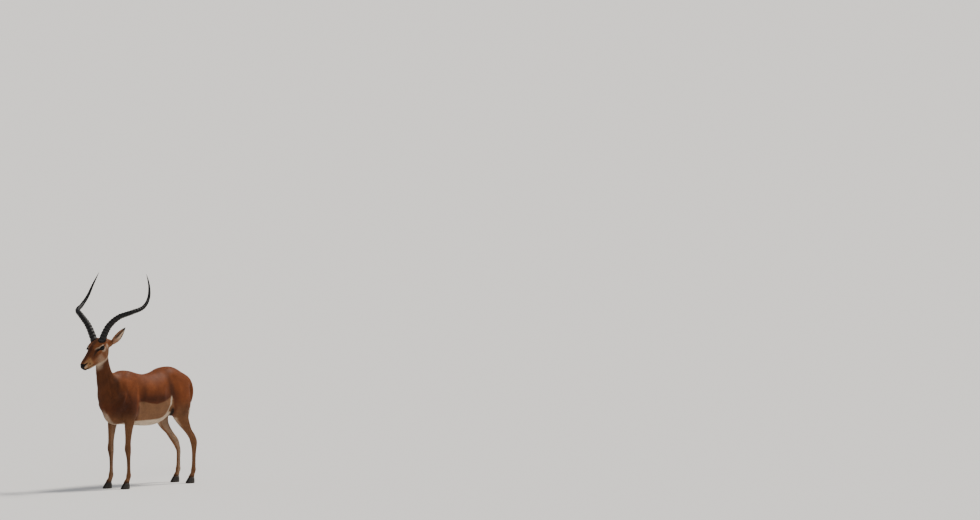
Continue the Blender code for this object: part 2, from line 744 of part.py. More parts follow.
def looseParts(body):
    """The separate closed bodies of a mesh, as points and faces."""
    mesh = body.data
    count = len(mesh.vertices)
    points = np.empty(count * 3)
    mesh.vertices.foreach_get("co", points)
    points = points.reshape(-1, 3)
    group = np.arange(count)
    faces = [tuple(p.vertices) for p in mesh.polygons]
    edges = np.array([tuple(e.vertices) for e in mesh.edges])
    while True:
        low = np.minimum(group[edges[:, 0]], group[edges[:, 1]])
        after = group.copy()
        np.minimum.at(after, edges[:, 0], low)
        np.minimum.at(after, edges[:, 1], low)
        after = after[after]
        if (after == group).all():
            break
        group = after
    parts = []
    for g in np.unique(group):
        members = np.nonzero(group == g)[0]
        number = {int(v): i for i, v in enumerate(members)}
        own = [[number[v] for v in f] for f in faces if group[f[0]] == g]
        parts.append((points[members], own))
    return parts


flesh = fleshBody()
cut(flesh, [socketFor(piece) for piece in setInPieces()] + dividers())
parts = looseParts(flesh)
bpy.data.objects.remove(flesh)
shift = np.array([*centreShift, 0.0])
for name, seed in seeds.items():
    gaps = [np.linalg.norm(points - shift - np.array(seed), axis=1).min() for points, faces in parts]
    points, faces = parts[int(np.argmin(gaps))]
    newObject(name, points - shift, faces, coatTan if "leg" in name else coatRed)
for legName in stance:
    for outward, word in ((1, "a"), (-1, "b")):
        loft("hoof_" + legName + "_" + word, clawLoops(legName, outward), hoofDark)
for body in bpy.data.objects:
    body.data.shade_smooth()
    body.data.set_sharp_from_angle(angle=math.radians(50))
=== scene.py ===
# Impala ram as a museum model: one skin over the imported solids, a short coat of mesh tufts,
# ringed horns, wet eyes, cloven hooves, and a pale studio round it.

import math

import bpy
import numpy as np
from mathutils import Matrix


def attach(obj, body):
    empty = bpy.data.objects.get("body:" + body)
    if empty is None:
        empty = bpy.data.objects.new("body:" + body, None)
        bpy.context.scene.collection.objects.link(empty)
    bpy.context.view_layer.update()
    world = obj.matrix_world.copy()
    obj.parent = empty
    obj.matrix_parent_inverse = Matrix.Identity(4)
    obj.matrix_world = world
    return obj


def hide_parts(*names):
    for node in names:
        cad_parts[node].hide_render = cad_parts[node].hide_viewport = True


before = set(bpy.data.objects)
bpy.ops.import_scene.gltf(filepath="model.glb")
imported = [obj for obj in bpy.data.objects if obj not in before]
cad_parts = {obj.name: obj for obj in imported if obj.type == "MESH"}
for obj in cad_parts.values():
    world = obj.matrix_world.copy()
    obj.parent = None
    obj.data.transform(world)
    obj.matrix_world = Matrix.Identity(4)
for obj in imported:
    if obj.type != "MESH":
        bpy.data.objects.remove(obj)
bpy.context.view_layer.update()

# metres, +X is the animal's left, -Y its front; everything below is written before this shift
shift = np.array([0.0057, 0.1120, 0.0])
leftRight = ((1, "left"), (-1, "right"))

pose = {
    "headPitch": 34.0, "headYaw": 3.0, "headPlace": (0.0, -0.434, 1.088),
    "spine": 0.680,  # the height that the trunk's sections are measured from
    "coronet": 0.043,  # where the skin ends above the claws
}


# ---- small maths
def turn(aboutX, aboutY, aboutZ):  # in degrees, X first
    a, b, c = (math.radians(v) for v in (aboutX, aboutY, aboutZ))
    rx = np.array([[1, 0, 0], [0, math.cos(a), -math.sin(a)], [0, math.sin(a), math.cos(a)]])
    ry = np.array([[math.cos(b), 0, math.sin(b)], [0, 1, 0], [-math.sin(b), 0, math.cos(b)]])
    rz = np.array([[math.cos(c), -math.sin(c), 0], [math.sin(c), math.cos(c), 0], [0, 0, 1]])
    return rz @ ry @ rx


def unit(vectors):
    vectors = np.asarray(vectors, float)
    return vectors / np.maximum(np.linalg.norm(vectors, axis=-1, keepdims=True), 1e-12)


def dots(a, b):  # row by row
    return np.einsum("ij,ij->i", a, b)


def ease(low, high, values):  # 0 below low, 1 above high, smooth between; low may be the higher one
    f = np.clip((np.asarray(values, float) - low) / (high - low), 0, 1)
    return f * f * (3 - 2 * f)


def throughPoints(rows, samples):  # a Catmull-Rom curve
    rows = np.asarray(rows, float)
    last = len(rows) - 1
    at = np.linspace(0, last, samples)
    left = np.clip(at.astype(int), 0, last - 1)
    f = (at - left)[:, None]
    p0, p1, p2, p3 = (rows[np.clip(left + k, 0, last)] for k in (-1, 0, 1, 2))
    bend = (2 * p0 - 5 * p1 + 4 * p2 - p3) * f**2 + (3 * p1 - p0 - 3 * p2 + p3) * f**3
    return 0.5 * (2 * p1 + (p2 - p0) * f + bend)


def softMin(a, b, width):
    near = np.maximum(width - np.abs(a - b), 0) / width
    return np.minimum(a, b) - near * near * width * 0.25


def circle(count):  # cosines and sines of even steps round
    around = np.arange(count) / count * 2 * math.pi
    return np.cos(around), np.sin(around)


headTurn = turn(0, 0, pose["headYaw"]) @ turn(pose["headPitch"], 0, 0)
headPlace = np.array(pose["headPlace"])
headUp = headTurn @ np.array([0, 0, 1.0])


def fromHead(out, forward, up):
    return headTurn @ np.array([out, -forward, up]) + headPlace


def toHead(points):  # out, forward, up of each point
    local = (points - headPlace) @ headTurn
    return local[:, 0], -local[:, 1], local[:, 2]


# ---- forms that melt together into the body
class Sweep:  # oval sections along a line: x, y, z, half width, half depth on top, half depth below, power
    def __init__(self, rows, top, blend, ends=(0.7, 0.7), hollow=False):
        fine = throughPoints(rows, (len(rows) - 1) * 4 + 1)
        self.blend, self.ends, self.hollow = blend, ends, hollow
        self.line = fine[:, :3]
        self.along = unit(np.gradient(self.line, axis=0))
        top = np.asarray(top, float)
        self.above = unit(top - self.along * (self.along @ top)[:, None])
        self.across = np.cross(self.along, self.above)
        self.sizes = fine[:, 3:7]
        reach = self.sizes[:, :3].max()
        self.low, self.high = self.line.min(0) - reach, self.line.max(0) + reach

    def distance(self, points):
        best = np.full(len(points), 1e9)
        piece = np.zeros(len(points), int)
        part = np.zeros(len(points))
        for i, (start, step) in enumerate(zip(self.line, np.diff(self.line, axis=0))):
            f = np.clip(((points - start) @ step) / (step @ step), 0, 1)
            off = points - start - f[:, None] * step
            gap = dots(off, off)
            nearer = gap < best
            best[nearer] = gap[nearer]
            piece[nearer] = i
            part[nearer] = f[nearer]

        def between(values):
            return values[piece] + (values[piece + 1] - values[piece]) * part[:, None]

        off = points - between(self.line)
        across, above, along = (dots(off, unit(between(v))) for v in (self.across, self.above, self.along))
        width, upper, lower, power = between(self.sizes).T
        depth = np.where(above > 0, upper, lower)
        end = np.where(along > 0, self.ends[1], self.ends[0])
        end = end * np.minimum(width, np.minimum(upper, lower))
        oval = np.abs(across / width) ** power + np.abs(above / depth) ** power
        oval = (oval + np.abs(along / end) ** power) ** (1 / power)
        away = np.sqrt(across**2 + above**2 + along**2)
        return np.where(away > 1e-4, away - away / np.maximum(oval, 1e-6), -np.minimum(width, depth))


class Mass:  # an ellipsoid: a muscle, a bony swelling, or a hollow when it is taken away
    def __init__(self, place, size, axes, blend, hollow=False):
        self.place = np.array(place, float)
        self.size = np.array(size, float)
        self.axes, self.blend, self.hollow = axes, blend, hollow
        self.low, self.high = self.place - self.size.max(), self.place + self.size.max()

    def distance(self, points):
        local = (points - self.place) @ self.axes
        k0 = np.linalg.norm(local / self.size, axis=1)
        k1 = np.maximum(np.linalg.norm(local / self.size**2, axis=1), 1e-9)
        return k0 * (k0 - 1) / k1


def bothSides(place, size, turned, blend, hollow=False):
    x, y, z = place
    a, b, c = turned
    return [Mass((s * x, y, z), size, turn(a, s * b, s * c), blend, hollow) for s in (1, -1)]


def bothCheeks(place, size, blend, hollow=False, turned=(0, 0, 0)):
    out, forward, up = place
    a, b, c = turned
    return [Mass(fromHead(s * out, forward, up), size, headTurn @ turn(a, s * b, s * c), blend, hollow)
            for s in (1, -1)]


# ---- trunk and neck
trunk = {
    "sections": (  # y, half width, height of the back, height of the belly
        (-0.425, 0.052, 0.735, 0.565), (-0.385, 0.080, 0.815, 0.515), (-0.330, 0.096, 0.854, 0.488),
        (-0.260, 0.106, 0.870, 0.472), (-0.190, 0.115, 0.864, 0.462), (-0.110, 0.124, 0.843, 0.455),
        (-0.030, 0.131, 0.832, 0.448), (0.050, 0.133, 0.840, 0.450), (0.120, 0.127, 0.860, 0.468),
        (0.190, 0.117, 0.876, 0.505), (0.260, 0.110, 0.873, 0.548), (0.330, 0.102, 0.843, 0.585),
        (0.385, 0.082, 0.790, 0.620), (0.415, 0.050, 0.735, 0.650),
    ),
    "neck": (  # y, z, half width, depth towards the nape, depth towards the throat
        (-0.330, 0.640, 0.080, 0.100, 0.095), (-0.375, 0.720, 0.072, 0.095, 0.100),
        (-0.415, 0.790, 0.058, 0.080, 0.088), (-0.442, 0.860, 0.047, 0.064, 0.070),
        (-0.458, 0.930, 0.042, 0.056, 0.058), (-0.466, 1.000, 0.041, 0.051, 0.053),
        (-0.474, 1.065, 0.042, 0.047, 0.050),
    ),
    "brisket": ((0, -0.345, 0.555), (0.055, 0.075, 0.070), 0.06),
    "barrelBlend": 0.05, "neckBlend": 0.06,
    "muscles": {  # place, half sizes, turn, blend
        "shoulder blade": ((0.066, -0.262, 0.746), (0.036, 0.078, 0.118), (-22, -9, 4), 0.032),
        "point of shoulder": ((0.076, -0.355, 0.640), (0.036, 0.056, 0.068), (0, 0, 0), 0.040),
        "upper arm": ((0.086, -0.245, 0.620), (0.034, 0.074, 0.095), (14, 0, 0), 0.028),
        "thigh": ((0.072, 0.292, 0.680), (0.050, 0.115, 0.150), (10, 0, 0), 0.036),
        "hip bone": ((0.058, 0.190, 0.820), (0.030, 0.050, 0.028), (0, 0, 0), 0.050),
        "buttock": ((0.047, 0.380, 0.705), (0.038, 0.050, 0.090), (8, 0, 0), 0.050),
        "stifle": ((0.088, 0.200, 0.570), (0.032, 0.048, 0.058), (-25, 0, 0), 0.045),
    },
    "hollows": {  # shallow dents that set the muscles off from each other
        "behind the shoulder": ((0.138, -0.166, 0.640), (0.017, 0.024, 0.110), (10, 0, 0), 0.024),
        "flank": ((0.137, 0.142, 0.715), (0.017, 0.046, 0.085), (-16, 0, 0), 0.030),
        "groin fold": ((0.118, 0.132, 0.556), (0.016, 0.010, 0.042), (-24, 0, 0), 0.012),
        "throat groove": ((0.066, -0.446, 0.820), (0.016, 0.010, 0.110), (12, 0, 0), 0.016),
        "above the elbow": ((0.121, -0.300, 0.705), (0.015, 0.015, 0.085), (-30, 0, 0), 0.018),
        "beside the neck": ((0.099, -0.372, 0.745), (0.015, 0.020, 0.085), (-24, 0, 0), 0.036),
        "behind the thigh": ((0.108, 0.378, 0.650), (0.016, 0.018, 0.085), (10, 0, 0), 0.024),
    },
}


def trunkForms():
    spine = pose["spine"]
    barrel = [(0, y, spine, wide, back - spine, spine - belly, 2.15)
              for y, wide, back, belly in trunk["sections"]]
    neck = [(0, y, z, wide, nape, throat, 2.1) for y, z, wide, nape, throat in trunk["neck"]]
    forms = [Sweep(barrel, (0, 0, 1), trunk["barrelBlend"], (0.8, 0.75))]
    forms.append(Sweep(neck, (0, 1, 0), trunk["neckBlend"], (0.4, 0.5)))
    place, size, blend = trunk["brisket"]
    forms.append(Mass(place, size, np.eye(3), blend))
    for muscle in trunk["muscles"].values():
        forms += bothSides(*muscle)
    return forms


# ---- legs
legs = {
    "fore": (  # z, y, half width, depth in front, depth behind, power
        (0.640, -0.262, 0.022, 0.035, 0.040, 2.2), (0.560, -0.258, 0.034, 0.048, 0.054, 2.2),
        (0.490, -0.266, 0.031, 0.041, 0.043, 2.2), (0.435, -0.272, 0.0255, 0.032, 0.032, 2.2),
        (0.380, -0.277, 0.0215, 0.0245, 0.0245, 2.2), (0.335, -0.280, 0.0200, 0.0220, 0.0220, 2.3),
        (0.295, -0.282, 0.0220, 0.0245, 0.0235, 2.4), (0.262, -0.279, 0.0190, 0.0200, 0.0220, 2.3),
        (0.225, -0.276, 0.0145, 0.0155, 0.0170, 2.2), (0.175, -0.275, 0.0125, 0.0135, 0.0155, 2.2),
        (0.128, -0.275, 0.0130, 0.0140, 0.0170, 2.2), (0.098, -0.277, 0.0170, 0.0175, 0.0220, 2.2),
        (0.073, -0.284, 0.0160, 0.0155, 0.0180, 2.2), (0.052, -0.295, 0.0205, 0.0195, 0.0190, 2.2),
        (0.036, -0.303, 0.0215, 0.0215, 0.0200, 2.2),
    ),
    "hind": (
        (0.720, 0.295, 0.024, 0.060, 0.060, 2.2), (0.630, 0.288, 0.048, 0.098, 0.092, 2.2),
        (0.550, 0.278, 0.047, 0.085, 0.080, 2.2), (0.490, 0.300, 0.038, 0.062, 0.058, 2.2),
        (0.440, 0.338, 0.030, 0.045, 0.036, 2.2), (0.390, 0.378, 0.0225, 0.030, 0.026, 2.2),
        (0.345, 0.410, 0.0200, 0.025, 0.031, 2.3), (0.308, 0.428, 0.0215, 0.0255, 0.0300, 2.4),
        (0.275, 0.433, 0.0190, 0.0215, 0.0245, 2.3), (0.235, 0.434, 0.0150, 0.0170, 0.0190, 2.2),
        (0.180, 0.433, 0.0130, 0.0150, 0.0170, 2.2), (0.128, 0.431, 0.0135, 0.0155, 0.0180, 2.2),
        (0.100, 0.429, 0.0172, 0.0182, 0.0222, 2.2), (0.074, 0.422, 0.0160, 0.0157, 0.0180, 2.2),
        (0.052, 0.412, 0.0205, 0.0195, 0.0190, 2.2), (0.036, 0.404, 0.0215, 0.0215, 0.0200, 2.2),
    ),
    "stance": {  # which sections, x at the top, x at the foot, how far back at some heights
        "foreleg_left": ("fore", 0.084, 0.076, ((0.0, 0.012), (0.60, 0.0))),
        "foreleg_right": ("fore", -0.084, -0.076, ((0.0, -0.022), (0.60, 0.0))),
        "hindleg_left": (
            "hind", 0.080, 0.078,
            ((0.0, -0.008), (0.30, -0.004), (0.40, -0.004), (0.47, 0.006), (0.66, 0.0)),
        ),
        "hindleg_right": (
            "hind", -0.080, -0.078,
            ((0.0, -0.008), (0.24, -0.008), (0.30, -0.034), (0.345, -0.056), (0.44, -0.060), (0.66, 0.0)),
        ),
    },
    "blend": 0.026,
    # grooves between bone and sinew, and the thin place above each hock:
    # which section, share of its half width, back, height, half sizes, lean, blend
    "hollows": {
        "fore": ((0.175, 1.10, 0.004, 0.185, (0.0035, 0.0030, 0.055), 0, 0.004),),
        "hind": (
            (0.390, 1.05, 0.010, 0.385, (0.0075, 0.0085, 0.038), 36, 0.008),
            (0.180, 1.10, 0.004, 0.195, (0.0035, 0.0030, 0.065), 0, 0.004),
        ),
    },
}


def legRows(name):
    kind, topX, footX, moves = legs["stance"][name]
    sections = legs[kind]
    heights, backs = zip(*moves)
    rows = []
    for z, y, *sizes in sections:
        down = ease(0, 1, 1 - z / sections[0][0])
        rows.append((topX + (footX - topX) * down, y + np.interp(z, heights, backs), z, *sizes))
    return rows


def legMiddle(name, z):  # where the leg's middle line passes at some height
    rows = np.array(legRows(name))[::-1]
    return np.interp(z, rows[:, 2], rows[:, 0]), np.interp(z, rows[:, 2], rows[:, 1])


def legForms():
    return [Sweep(legRows(name), (0, -1, 0), legs["blend"], (0.6, 0.5)) for name in legs["stance"]]


def legHollows():
    forms = []
    for name, stance in legs["stance"].items():
        rows = {row[2]: row for row in legRows(name)}
        for side in (1, -1):
            for section, share, back, height, size, lean, blend in legs["hollows"][stance[0]]:
                x, y, _, wide = rows[section][:4]
                place = (x + side * wide * share, y + back, height)
                forms.append(Mass(place, size, turn(lean, 0, 0), blend, True))
    return forms


# ---- head
head = {
    "sections": (  # forward, up, half width, depth to the forehead, depth to the jaw, power
        (0.006, 0.000, 0.046, 0.043, 0.048, 2.1), (0.043, 0.004, 0.056, 0.058, 0.073, 2.2),
        (0.081, 0.006, 0.058, 0.062, 0.089, 2.2), (0.119, 0.004, 0.052, 0.057, 0.092, 2.3),
        (0.157, 0.000, 0.044, 0.048, 0.086, 2.4), (0.200, -0.003, 0.037, 0.040, 0.075, 2.4),
        (0.243, -0.006, 0.033, 0.035, 0.060, 2.4), (0.270, -0.008, 0.031, 0.031, 0.049, 2.4),
        (0.288, -0.012, 0.026, 0.023, 0.037, 2.3),
    ),
    "swellings": {  # place, half sizes, blend
        "rim of the eye": ((0.0465, 0.097, 0.025), (0.0215, 0.034, 0.026), 0.014),
        "cheek": ((0.032, 0.098, -0.046), (0.023, 0.058, 0.040), 0.020),
        "foot of the horn": ((0.042, 0.050, 0.044), (0.0305, 0.0325, 0.030), 0.016),
        "root of the ear": ((0.044, 0.000, -0.010), (0.025, 0.026, 0.028), 0.024),
        "cheek bone": ((0.048, 0.118, -0.006), (0.006, 0.036, 0.005), 0.012),
        "wing of the nose": ((0.0165, 0.287, 0.000), (0.0095, 0.0140, 0.0125), 0.006),
        "upper lip": ((0.0135, 0.286, -0.0205), (0.0140, 0.0150, 0.0085), 0.006),
    },
    "hollows": {  # place, half sizes, turn, blend
        "in front of the eye": ((0.052, 0.140, 0.004), (0.007, 0.020, 0.010), (0, 0, 0), 0.010),
        "behind the eye": ((0.064, 0.062, 0.014), (0.008, 0.014, 0.012), (0, 0, 0), 0.010),
        "side of the nose": ((0.043, 0.205, 0.010), (0.008, 0.045, 0.013), (0, 0, 6), 0.012),
        "nostril": ((0.0185, 0.2975, -0.0010), (0.0050, 0.0115, 0.0046), (14, 20, -42), 0.0025),
        "groove of the lip": ((0.0000, 0.3120, -0.0200), (0.0016, 0.0080, 0.0120), (0, 0, 0), 0.0025),
    },
    "mouth": (  # the line between the lips: out, forward, up
        (0.000, 0.3040, -0.0300), (0.012, 0.2990, -0.0305), (0.0215, 0.2850, -0.0325),
        (0.0285, 0.2620, -0.0360), (0.0330, 0.2350, -0.0410), (0.0365, 0.2080, -0.0480),
    ),
    "mouthDepth": 0.0019, "mouthBlend": 0.0022, "blend": 0.034,
}
eyes = {
    "place": (0.0545, 0.097, 0.021), "looks": (0.94, 0.32, 0.10),  # out, forward, up
    "radius": 0.0185, "lid": 0.0021, "lidBlend": 0.007,
    "halfLength": 0.0188, "halfHeight": 0.0096, "slope": -9.0, "slitBlend": 0.0022,  # the slit
}


def headForms():
    rows = [(*fromHead(0, forward, up), *rest) for forward, up, *rest in head["sections"]]
    forms = [Sweep(rows, headUp, head["blend"], (0.6, 0.8))]
    for swelling in head["swellings"].values():
        forms += bothCheeks(*swelling)
    return forms


def eyeFrame(side):  # the eye's centre; columns: along the slit, up, the way the eye looks
    out, forward, up = eyes["looks"]
    look = unit(headTurn @ np.array([side * out, -forward, up]))
    slope = math.radians(eyes["slope"])
    along = headTurn @ np.array([0, -math.cos(slope), -math.sin(slope)])
    along = unit(along - look * (along @ look))
    out, forward, up = eyes["place"]
    return fromHead(side * out, forward, up), np.stack([along, np.cross(look, along) * -side, look], 1)


def lidForms():  # a lid of skin over each eyeball
    return bothCheeks(eyes["place"], (eyes["radius"] + eyes["lid"],) * 3, eyes["lidBlend"])


def openings():  # the almond slit of each eye, cut through the lid down into the eyeball
    forms = []
    for side in (1, -1):
        centre, axes = eyeFrame(side)
        size = (eyes["halfLength"], eyes["halfHeight"], eyes["radius"] * 0.85)
        forms.append(Mass(centre + axes[:, 2] * eyes["radius"] * 1.02, size, axes, eyes["slitBlend"], True))
    return forms


def mouthForms():
    section = (head["mouthDepth"],) * 3 + (2,)
    forms = []
    for side in (1, -1):
        rows = [(*fromHead(side * out, forward, up), *section) for out, forward, up in head["mouth"]]
        forms.append(Sweep(rows, headUp, head["mouthBlend"], (1, 1), True))
    return forms


# ---- sampling: coarse everywhere, fine near the surface, closer steps on the head
skin = {
    "step": 0.0066, "fineStep": 0.0025, "coarse": 4,  # steps in a coarse cell
    "grid": (  # x, y, z: from, to, and where the fine steps start and end
        (-0.175, 0.175, -0.077, 0.077), (-0.740, 0.480, -0.740, -0.400), (0.010, 1.180, 0.925, 1.180),
    ),
    "deep": 0.0030, "lessOnLegs": 0.0013, "lessOnFace": 0.0014,  # how far it lies under the solids
    "nudge": 0.0006, "furthest": 0.0015,  # when it settles
    # tone: painted shade, the skin a little darker than the tufts over it
    "tone": 0.92,  # against the tufts over it
}


def meltIn(field, points, form, pad):
    near = np.all((points > form.low - pad) & (points < form.high + pad), axis=1)
    if near.any():
        way = -1 if form.hollow else 1
        field[near] = way * softMin(way * field[near], form.distance(points[near]), form.blend)


def melted(points, forms, reach=0.05):
    field = np.full(len(points), 1.0)
    for form in forms:
        meltIn(field, points, form, reach + form.blend)
    return field


def skinField(points, forms, details):
    field = melted(points, forms, 0.02) + coatDepth(points)
    for form in details:
        meltIn(field, points, form, 0.03)
    return np.maximum(field, pose["coronet"] - 0.003 - points[:, 2])


def coatDepth(points):  # by how long the coat is there
    z = points[:, 2]
    face = ease(0.06, 0.22, toHead(points)[1]) * ease(0.90, 0.96, z + 0.1) * (z > 0.85)
    return skin["deep"] - skin["lessOnLegs"] * ease(0.52, 0.40, z) - skin["lessOnFace"] * face


def gridLines(low, high, fineLow, fineHigh):
    lines = [low]
    while lines[-1] < high or len(lines) % skin["coarse"] != 1:
        fine = fineLow < lines[-1] < fineHigh and lines[-1] < high
        lines.append(lines[-1] + skin["fineStep" if fine else "step"])
    return np.array(lines)


def shifted(values, corner, cells):
    return values[tuple(slice(c, c + n) for c, n in zip(corner, cells))]


def sampledField(forms, details):
    axes = [gridLines(*row) for row in skin["grid"]]
    wide = [a[::skin["coarse"]] for a in axes]
    corners = np.stack(np.meshgrid(*wide, indexing="ij"), -1).reshape(-1, 3)
    coarse = melted(corners, forms).reshape([len(a) for a in wide])
    cells = tuple(n - 1 for n in coarse.shape)
    eight = [shifted(coarse, corner, cells) for corner in np.ndindex(2, 2, 2)]
    lowest, highest = np.minimum.reduce(eight), np.maximum.reduce(eight)
    sizes = np.maximum.reduce(np.meshgrid(*[np.diff(a) for a in wide], indexing="ij")) * 0.75
    crossed = (lowest < sizes) & (highest > -sizes)
    index = np.ix_(*[np.minimum(np.arange(len(a)) // skin["coarse"], n - 1) for a, n in zip(axes, cells)])
    field = ((lowest + highest) * 0.5)[index]
    where = np.nonzero(crossed[index])
    points = np.stack([a[i] for a, i in zip(axes, where)], 1)
    print("skin: sampling", len(points), "places")
    field[where] = skinField(points, forms, details)
    return field, axes


def surfaceOf(field, axes):  # one vertex in each crossed cell, one face over each crossed edge
    inside = field < 0
    cells = tuple(n - 1 for n in field.shape)
    total = np.zeros(cells + (3,))
    count = np.zeros(cells)
    for axis, first, second in np.ndindex(3, 2, 2):
        start = np.insert([first, second], axis, 0)
        stop = np.insert([first, second], axis, 1)
        a, b = shifted(field, start, cells), shifted(field, stop, cells)
        crossed = shifted(inside, start, cells) != shifted(inside, stop, cells)
        f = np.where(crossed, a / np.where(a == b, 1, a - b), 0)
        for k in range(3):
            total[..., k] += np.where(crossed, f if k == axis else start[k], 0)
        count += crossed
    used = count > 0
    number = np.full(cells, -1)
    number[used] = np.arange(used.sum())
    cell = np.nonzero(used)
    spot = total[used] / count[used][:, None]
    vertices = np.stack([a[c] + s * np.diff(a)[c] for a, c, s in zip(axes, cell, spot.T)], 1)
    quads = []
    for axis in range(3):
        one, two = [k for k in range(3) if k != axis]
        here = np.moveaxis(inside, axis, 0)
        crossed = np.argwhere(here[:-1] != here[1:])
        edge = np.insert(crossed[:, 1:], axis, crossed[:, 0], axis=1)
        around = []
        for back in ((1, 1), (0, 1), (0, 0), (1, 0)):
            beside = edge.copy()
            beside[:, [one, two]] -= back
            around.append(number[tuple(beside.T)])
        quad = np.stack(around, 1)
        outward = inside[tuple(edge.T)]
        flip = outward if axis == 1 else ~outward
        quad[flip] = quad[flip][:, ::-1]
        quads.append(quad)
    return vertices, np.concatenate(quads)


def settle(vertices, forms, details, rounds=2):  # draws the net onto the surface
    for _ in range(rounds):
        value = skinField(vertices, forms, details)
        ahead = [skinField(vertices + nudge, forms, details) for nudge in np.eye(3) * skin["nudge"]]
        slope = (np.stack(ahead, 1) - value[:, None]) / skin["nudge"]
        move = -slope * (value / np.maximum(dots(slope, slope), 0.2))[:, None]
        far = np.linalg.norm(move, axis=1, keepdims=True)
        vertices = vertices + move * np.minimum(1, skin["furthest"] / np.maximum(far, 1e-9)) * 0.9
    return vertices


# ---- colours: all the markings, and painted shade and light, are told from places on the animal
# the lower saddle's and the neck's paints are painted shade, the nape's is painted light
paint = {
    "saddle": (0.172, 0.047, 0.0135), "saddleShade": (0.090, 0.023, 0.007), "flank": (0.215, 0.102, 0.047),
    "cream": (0.600, 0.470, 0.340), "leg": (0.165, 0.074, 0.031), "neck": (0.078, 0.024, 0.008),
    "nape": (0.250, 0.090, 0.032), "black": (0.006, 0.0050, 0.0045), "brow": (0.215, 0.072, 0.025),
    "cheek": (0.250, 0.118, 0.058), "muzzle": (0.300, 0.150, 0.062), "bridge": (0.055, 0.017, 0.007),
    "earBack": (0.260, 0.100, 0.040), "earInside": (0.560, 0.400, 0.280), "shade": (0.030, 0.013, 0.007),
}
shadedTones = (  # painted shade and painted highlights over the muscles, where light and shade fall on their relief: y, z, half sizes, lean, factor
    (0.152, 0.725, 0.048, 0.120, -0.20, 0.48), (-0.140, 0.695, 0.042, 0.105, 0.10, 0.62),
    (-0.207, 0.645, 0.019, 0.140, 0.10, 1.70), (-0.300, 0.700, 0.024, 0.100, -0.40, 0.68),
    (-0.020, 0.655, 0.190, 0.040, 0.00, 0.66), (0.250, 0.690, 0.050, 0.120, -0.20, 1.22),
    (-0.060, 0.750, 0.080, 0.050, 0.00, 1.20), (-0.345, 0.590, 0.190, 0.110, 0.00, 0.56),
    (-0.365, 0.720, 0.040, 0.130, -0.20, 0.66), (-0.280, 0.790, 0.070, 0.050, 0.00, 1.22),
    (0.300, 0.560, 0.070, 0.080, 0.00, 0.74),
)
edges = {  # lines over the body as pairs: a place along it, and how high, wide or far back the line is there
    "saddle": ((-0.30, 0.560), (-0.20, 0.632), (-0.15, 0.640), (-0.09, 0.625), (-0.015, 0.614),
               (0.049, 0.626), (0.10, 0.640), (0.15, 0.662), (0.22, 0.600)),
    "belly": ((-0.34, 0.480), (-0.18, 0.496), (-0.05, 0.499), (0.03, 0.501), (0.075, 0.509), (0.11, 0.526),
              (0.14, 0.550)),
    "fold": ((0.50, 0.085), (0.545, 0.122), (0.60, 0.143), (0.655, 0.150)),
    "nape": ((0.80, -0.335), (0.86, -0.378), (0.93, -0.402), (1.00, -0.415), (1.07, -0.427)),
    "rump": ((0.56, 0.030), (0.62, 0.043), (0.70, 0.045), (0.76, 0.036), (0.795, 0.018), (0.81, 0.0)),
    "mouth": ((0.208, -0.048), (0.235, -0.041), (0.262, -0.036), (0.285, -0.0325), (0.304, -0.030)),
    "jaw": ((-0.02, -0.058), (0.06, -0.076), (0.12, -0.080), (0.20, -0.064), (0.26, -0.050), (0.31, -0.036)),
}


def edgeAt(name, along):
    return np.interp(along, *zip(*edges[name]))


class Layers:  # a colour for each point, with paints laid over it in turn
    def __init__(self, name, count):
        self.colour = np.tile(np.array(paint[name]), (count, 1))

    def lay(self, name, *shares):
        share = 1.0
        for part in shares:
            share = share * part
        self.colour = self.colour + (np.array(paint[name]) - self.colour) * np.clip(share, 0, 1)[:, None]


def isHead(points):  # 1 on the head, 0 below the jaw line and on the neck
    plane = (points - np.array([0, -0.465, 0.955])) @ unit([0, -0.584, 0.812])
    return ease(-0.012, 0.006, plane) * (points[:, 2] > 0.84)


